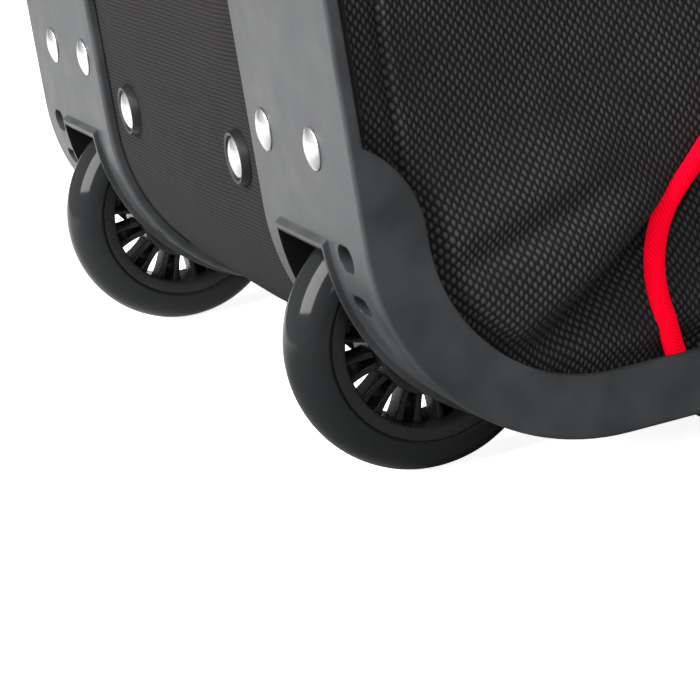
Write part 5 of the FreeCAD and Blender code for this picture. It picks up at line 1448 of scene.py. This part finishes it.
cloth = np.stack([x, np.broadcast_to(a * 24 * MM, z.shape)], axis=-1).reshape(-1, 2)
stitch_x = np.arange(-pad_half * 0.84, pad_half * 0.84, STITCH_STEP)
stitch_y = np.interp(stitch_x, x[:, 0], pad_y + depth[:, 0] * 0.985)
stitch_z = np.full_like(stitch_x, loop_foot - 0.1 * pad_tall - 2.4 * MM)
for side, sign in SIDES.items():
    points, faces = loops_solid(np.stack([x, sign * y, z], axis=-1))
    pad = outwards(made_of(f"handle_pad_{side}", points, faces, shell_finish, cloth))
    seats = np.stack([stitch_x, sign * stitch_y, stitch_z], axis=1)
    points, faces = scattered(stitch, stitch_faces, seats, (1.0, 0.0, 0.0), (0.0, float(sign), 0.0))
    pad_seam = outwards(made_of(f"pad_stitches_{side}", points, faces, thread_finish))
    for piece, slot in ((pad, "grip_foam"), (pad_seam, "webbing")):
        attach(piece, f"carry_handle_{side}")
        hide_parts(f"carry_grip_{side}")

# ---------------------------------------------------------------- haul strap
# A length of the same webbing across the wheel end, above the cup washers. It is sewn flat at both ends
# with boxed crosses and bows out in the middle for the fingers.

HAUL_THICK = 2.2 * MM
HAUL_SEWN = 88 * MM
haul_low, haul_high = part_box("grab_strap")
haul_middle = (haul_low[2] + haul_high[2]) / 2

# At s, -1 to 1 along the strap, the bow is its full depth times 1 - eased(|s|, 0.30, 0.78).
s = np.linspace(-1, 1, 121)
bow_out = (haul_high[0] - haul_low[0] - HAUL_THICK) * (1 - eased(np.abs(s), 0.30, 0.78))
haul_x = haul_high[0] - bow_out + 0.1 * MM
route = np.stack([haul_x, s * haul_high[1], np.full_like(s, haul_middle)], axis=1)
up = np.broadcast_to((0.0, 0.0, 1.0), route.shape)
outward = np.cross(headings(route), up)
outward = outward * np.sign(-outward[:, :1])
points, faces, cloth = ribbon(route, up, outward, STRAP_WIDTH, HAUL_THICK)
haul = outwards(made_of("haul_strap", points, faces, webbing_finish, cloth))
seams = []
for end in (-1, 1):
    middles, ways = boxed_cross(18 * MM, STRAP_WIDTH - 8 * MM, STITCH_STEP)
    seat_x = np.full(len(middles), haul_high[0] - HAUL_THICK + 0.08 * MM)
    seats = np.column_stack([seat_x, end * HAUL_SEWN + middles[:, 0], haul_middle + middles[:, 1]])
    ahead = np.column_stack([np.zeros(len(ways)), ways])
    seams.append(scattered(stitch, stitch_faces, seats, ahead, (-1.0, 0.0, 0.0)))
haul_seams = outwards(made_of("haul_stitches", *joined(seams), thread_finish))
for piece in (haul, haul_seams):
    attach(piece, "bag")
    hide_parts("grab_strap")

# ---------------------------------------------------------------- tow grip
# A black foam-rubber sleeve, moulded with shallow finger rings and rounded ends, and pushed on to the
# tow handle's cross bar, which it grips by its own stretch.

SLEEVE_WALL = 4.98 * MM
tow_low, tow_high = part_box("tow_grip")
tow_centre = (np.array(tow_low) + np.array(tow_high)) / 2
tow_radius = (tow_high[0] - tow_low[0]) / 2
tow_half = (tow_high[1] - tow_low[1]) / 2
tow_bore = tow_radius - SLEEVE_WALL

# The skin's radius at s, -1 to 1 along, is r (1 - 0.045 grooves), less a fall that rounds both ends.
s = np.linspace(-1, 1, 97)
grooves = (0.5 + 0.5 * np.cos(2 * np.pi * s * 4.5)) * (1 - eased(np.abs(s), 0.86, 0.94))
skin = tow_radius * (1 - 0.045 * grooves) - 2.2 * MM * eased(np.abs(s), 0.95, 1.0) ** 2
sleeve_profile = np.concatenate([
    np.stack([skin, s * tow_half], axis=1), [(tow_bore, tow_half), (tow_bore, -tow_half)],
])
grip_finish = moulded(
    "grip_foam", (0.014, 0.014, 0.014), (0.024, 0.024, 0.025), 0.72, 0.86, 1500.0, 0.2 * MM
)
sleeve = outwards(made_of("tow_sleeve", *turned_ring(sleeve_profile, tow_centre, 64), grip_finish))
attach(sleeve, "tow_handle")
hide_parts("tow_grip")

# ---------------------------------------------------------------- boards and name window
# Dark fluted plastic boards stiffen the floor and the wheel end from inside. The lid carries a clear vinyl
# pocket for a name card, left blank, with a bound edge.

board_finish = Finish("board")
where = board_finish.object_place()
cloud = board_finish.noise(where, 30.0)
flutes = board_finish.spread(board_finish.wave(board_finish.parts(where)["Y"], 5 * MM), -1.0, 1.0)
board_finish.set(
    Base_Color=board_finish.mix(cloud, (0.030, 0.030, 0.031), (0.045, 0.045, 0.047)),
    Roughness=board_finish.spread(board_finish.noise(where, 200.0), 0.3, 0.7, 0.45, 0.6),
    Normal=board_finish.bump(flutes, 0.3 * MM, 0.5),
)
finish_nodes(board_finish, "end_board", "base_board")

window_finish = Finish("clear_window")
where = window_finish.object_place()
cloud = window_finish.noise(where, 40.0)
window_finish.set(
    Base_Color=window_finish.mix(cloud, (0.72, 0.74, 0.75), (0.80, 0.81, 0.82)),
    Roughness=window_finish.spread(window_finish.noise(where, 60.0), 0.3, 0.7, 0.06, 0.16),
    Transmission_Weight=0.85,
    IOR=1.5,
    Normal=window_finish.bump(window_finish.noise(where, 25.0), 0.4 * MM, 0.4),
)
finish_nodes(window_finish, "name_window")
BINDING_LAP = 5 * MM
BINDING_WIDTH = 3 * MM
half_pane = np.array([pane_high[0] - pane_low[0], pane_high[1] - pane_low[1]]) / 2
corners = np.array([(-1, -1), (1, -1), (1, 1), (-1, 1)]) * half_pane
outline = rounded_profile(corners, 7 * MM, 8)
outer, inner = outline * (1 + BINDING_WIDTH / half_pane[0]), outline * (1 - BINDING_LAP / half_pane)
levels = [(outer, 0.0), (outer, 1.6 * MM), (outline, 2.1 * MM), (inner, 1.9 * MM), (inner, 0.0)]
loops = np.stack([
    np.column_stack([pane_x + plan[:, 0], plan[:, 1], np.full(len(plan), pane_low[2] + rise)])
    for plan, rise in levels
])
points, faces = loops_solid(loops.transpose(1, 0, 2), wrap=True)
binding = outwards(made_of("window_binding", points, faces, tape_finish, points[:, :2]))
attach(binding, "lid")
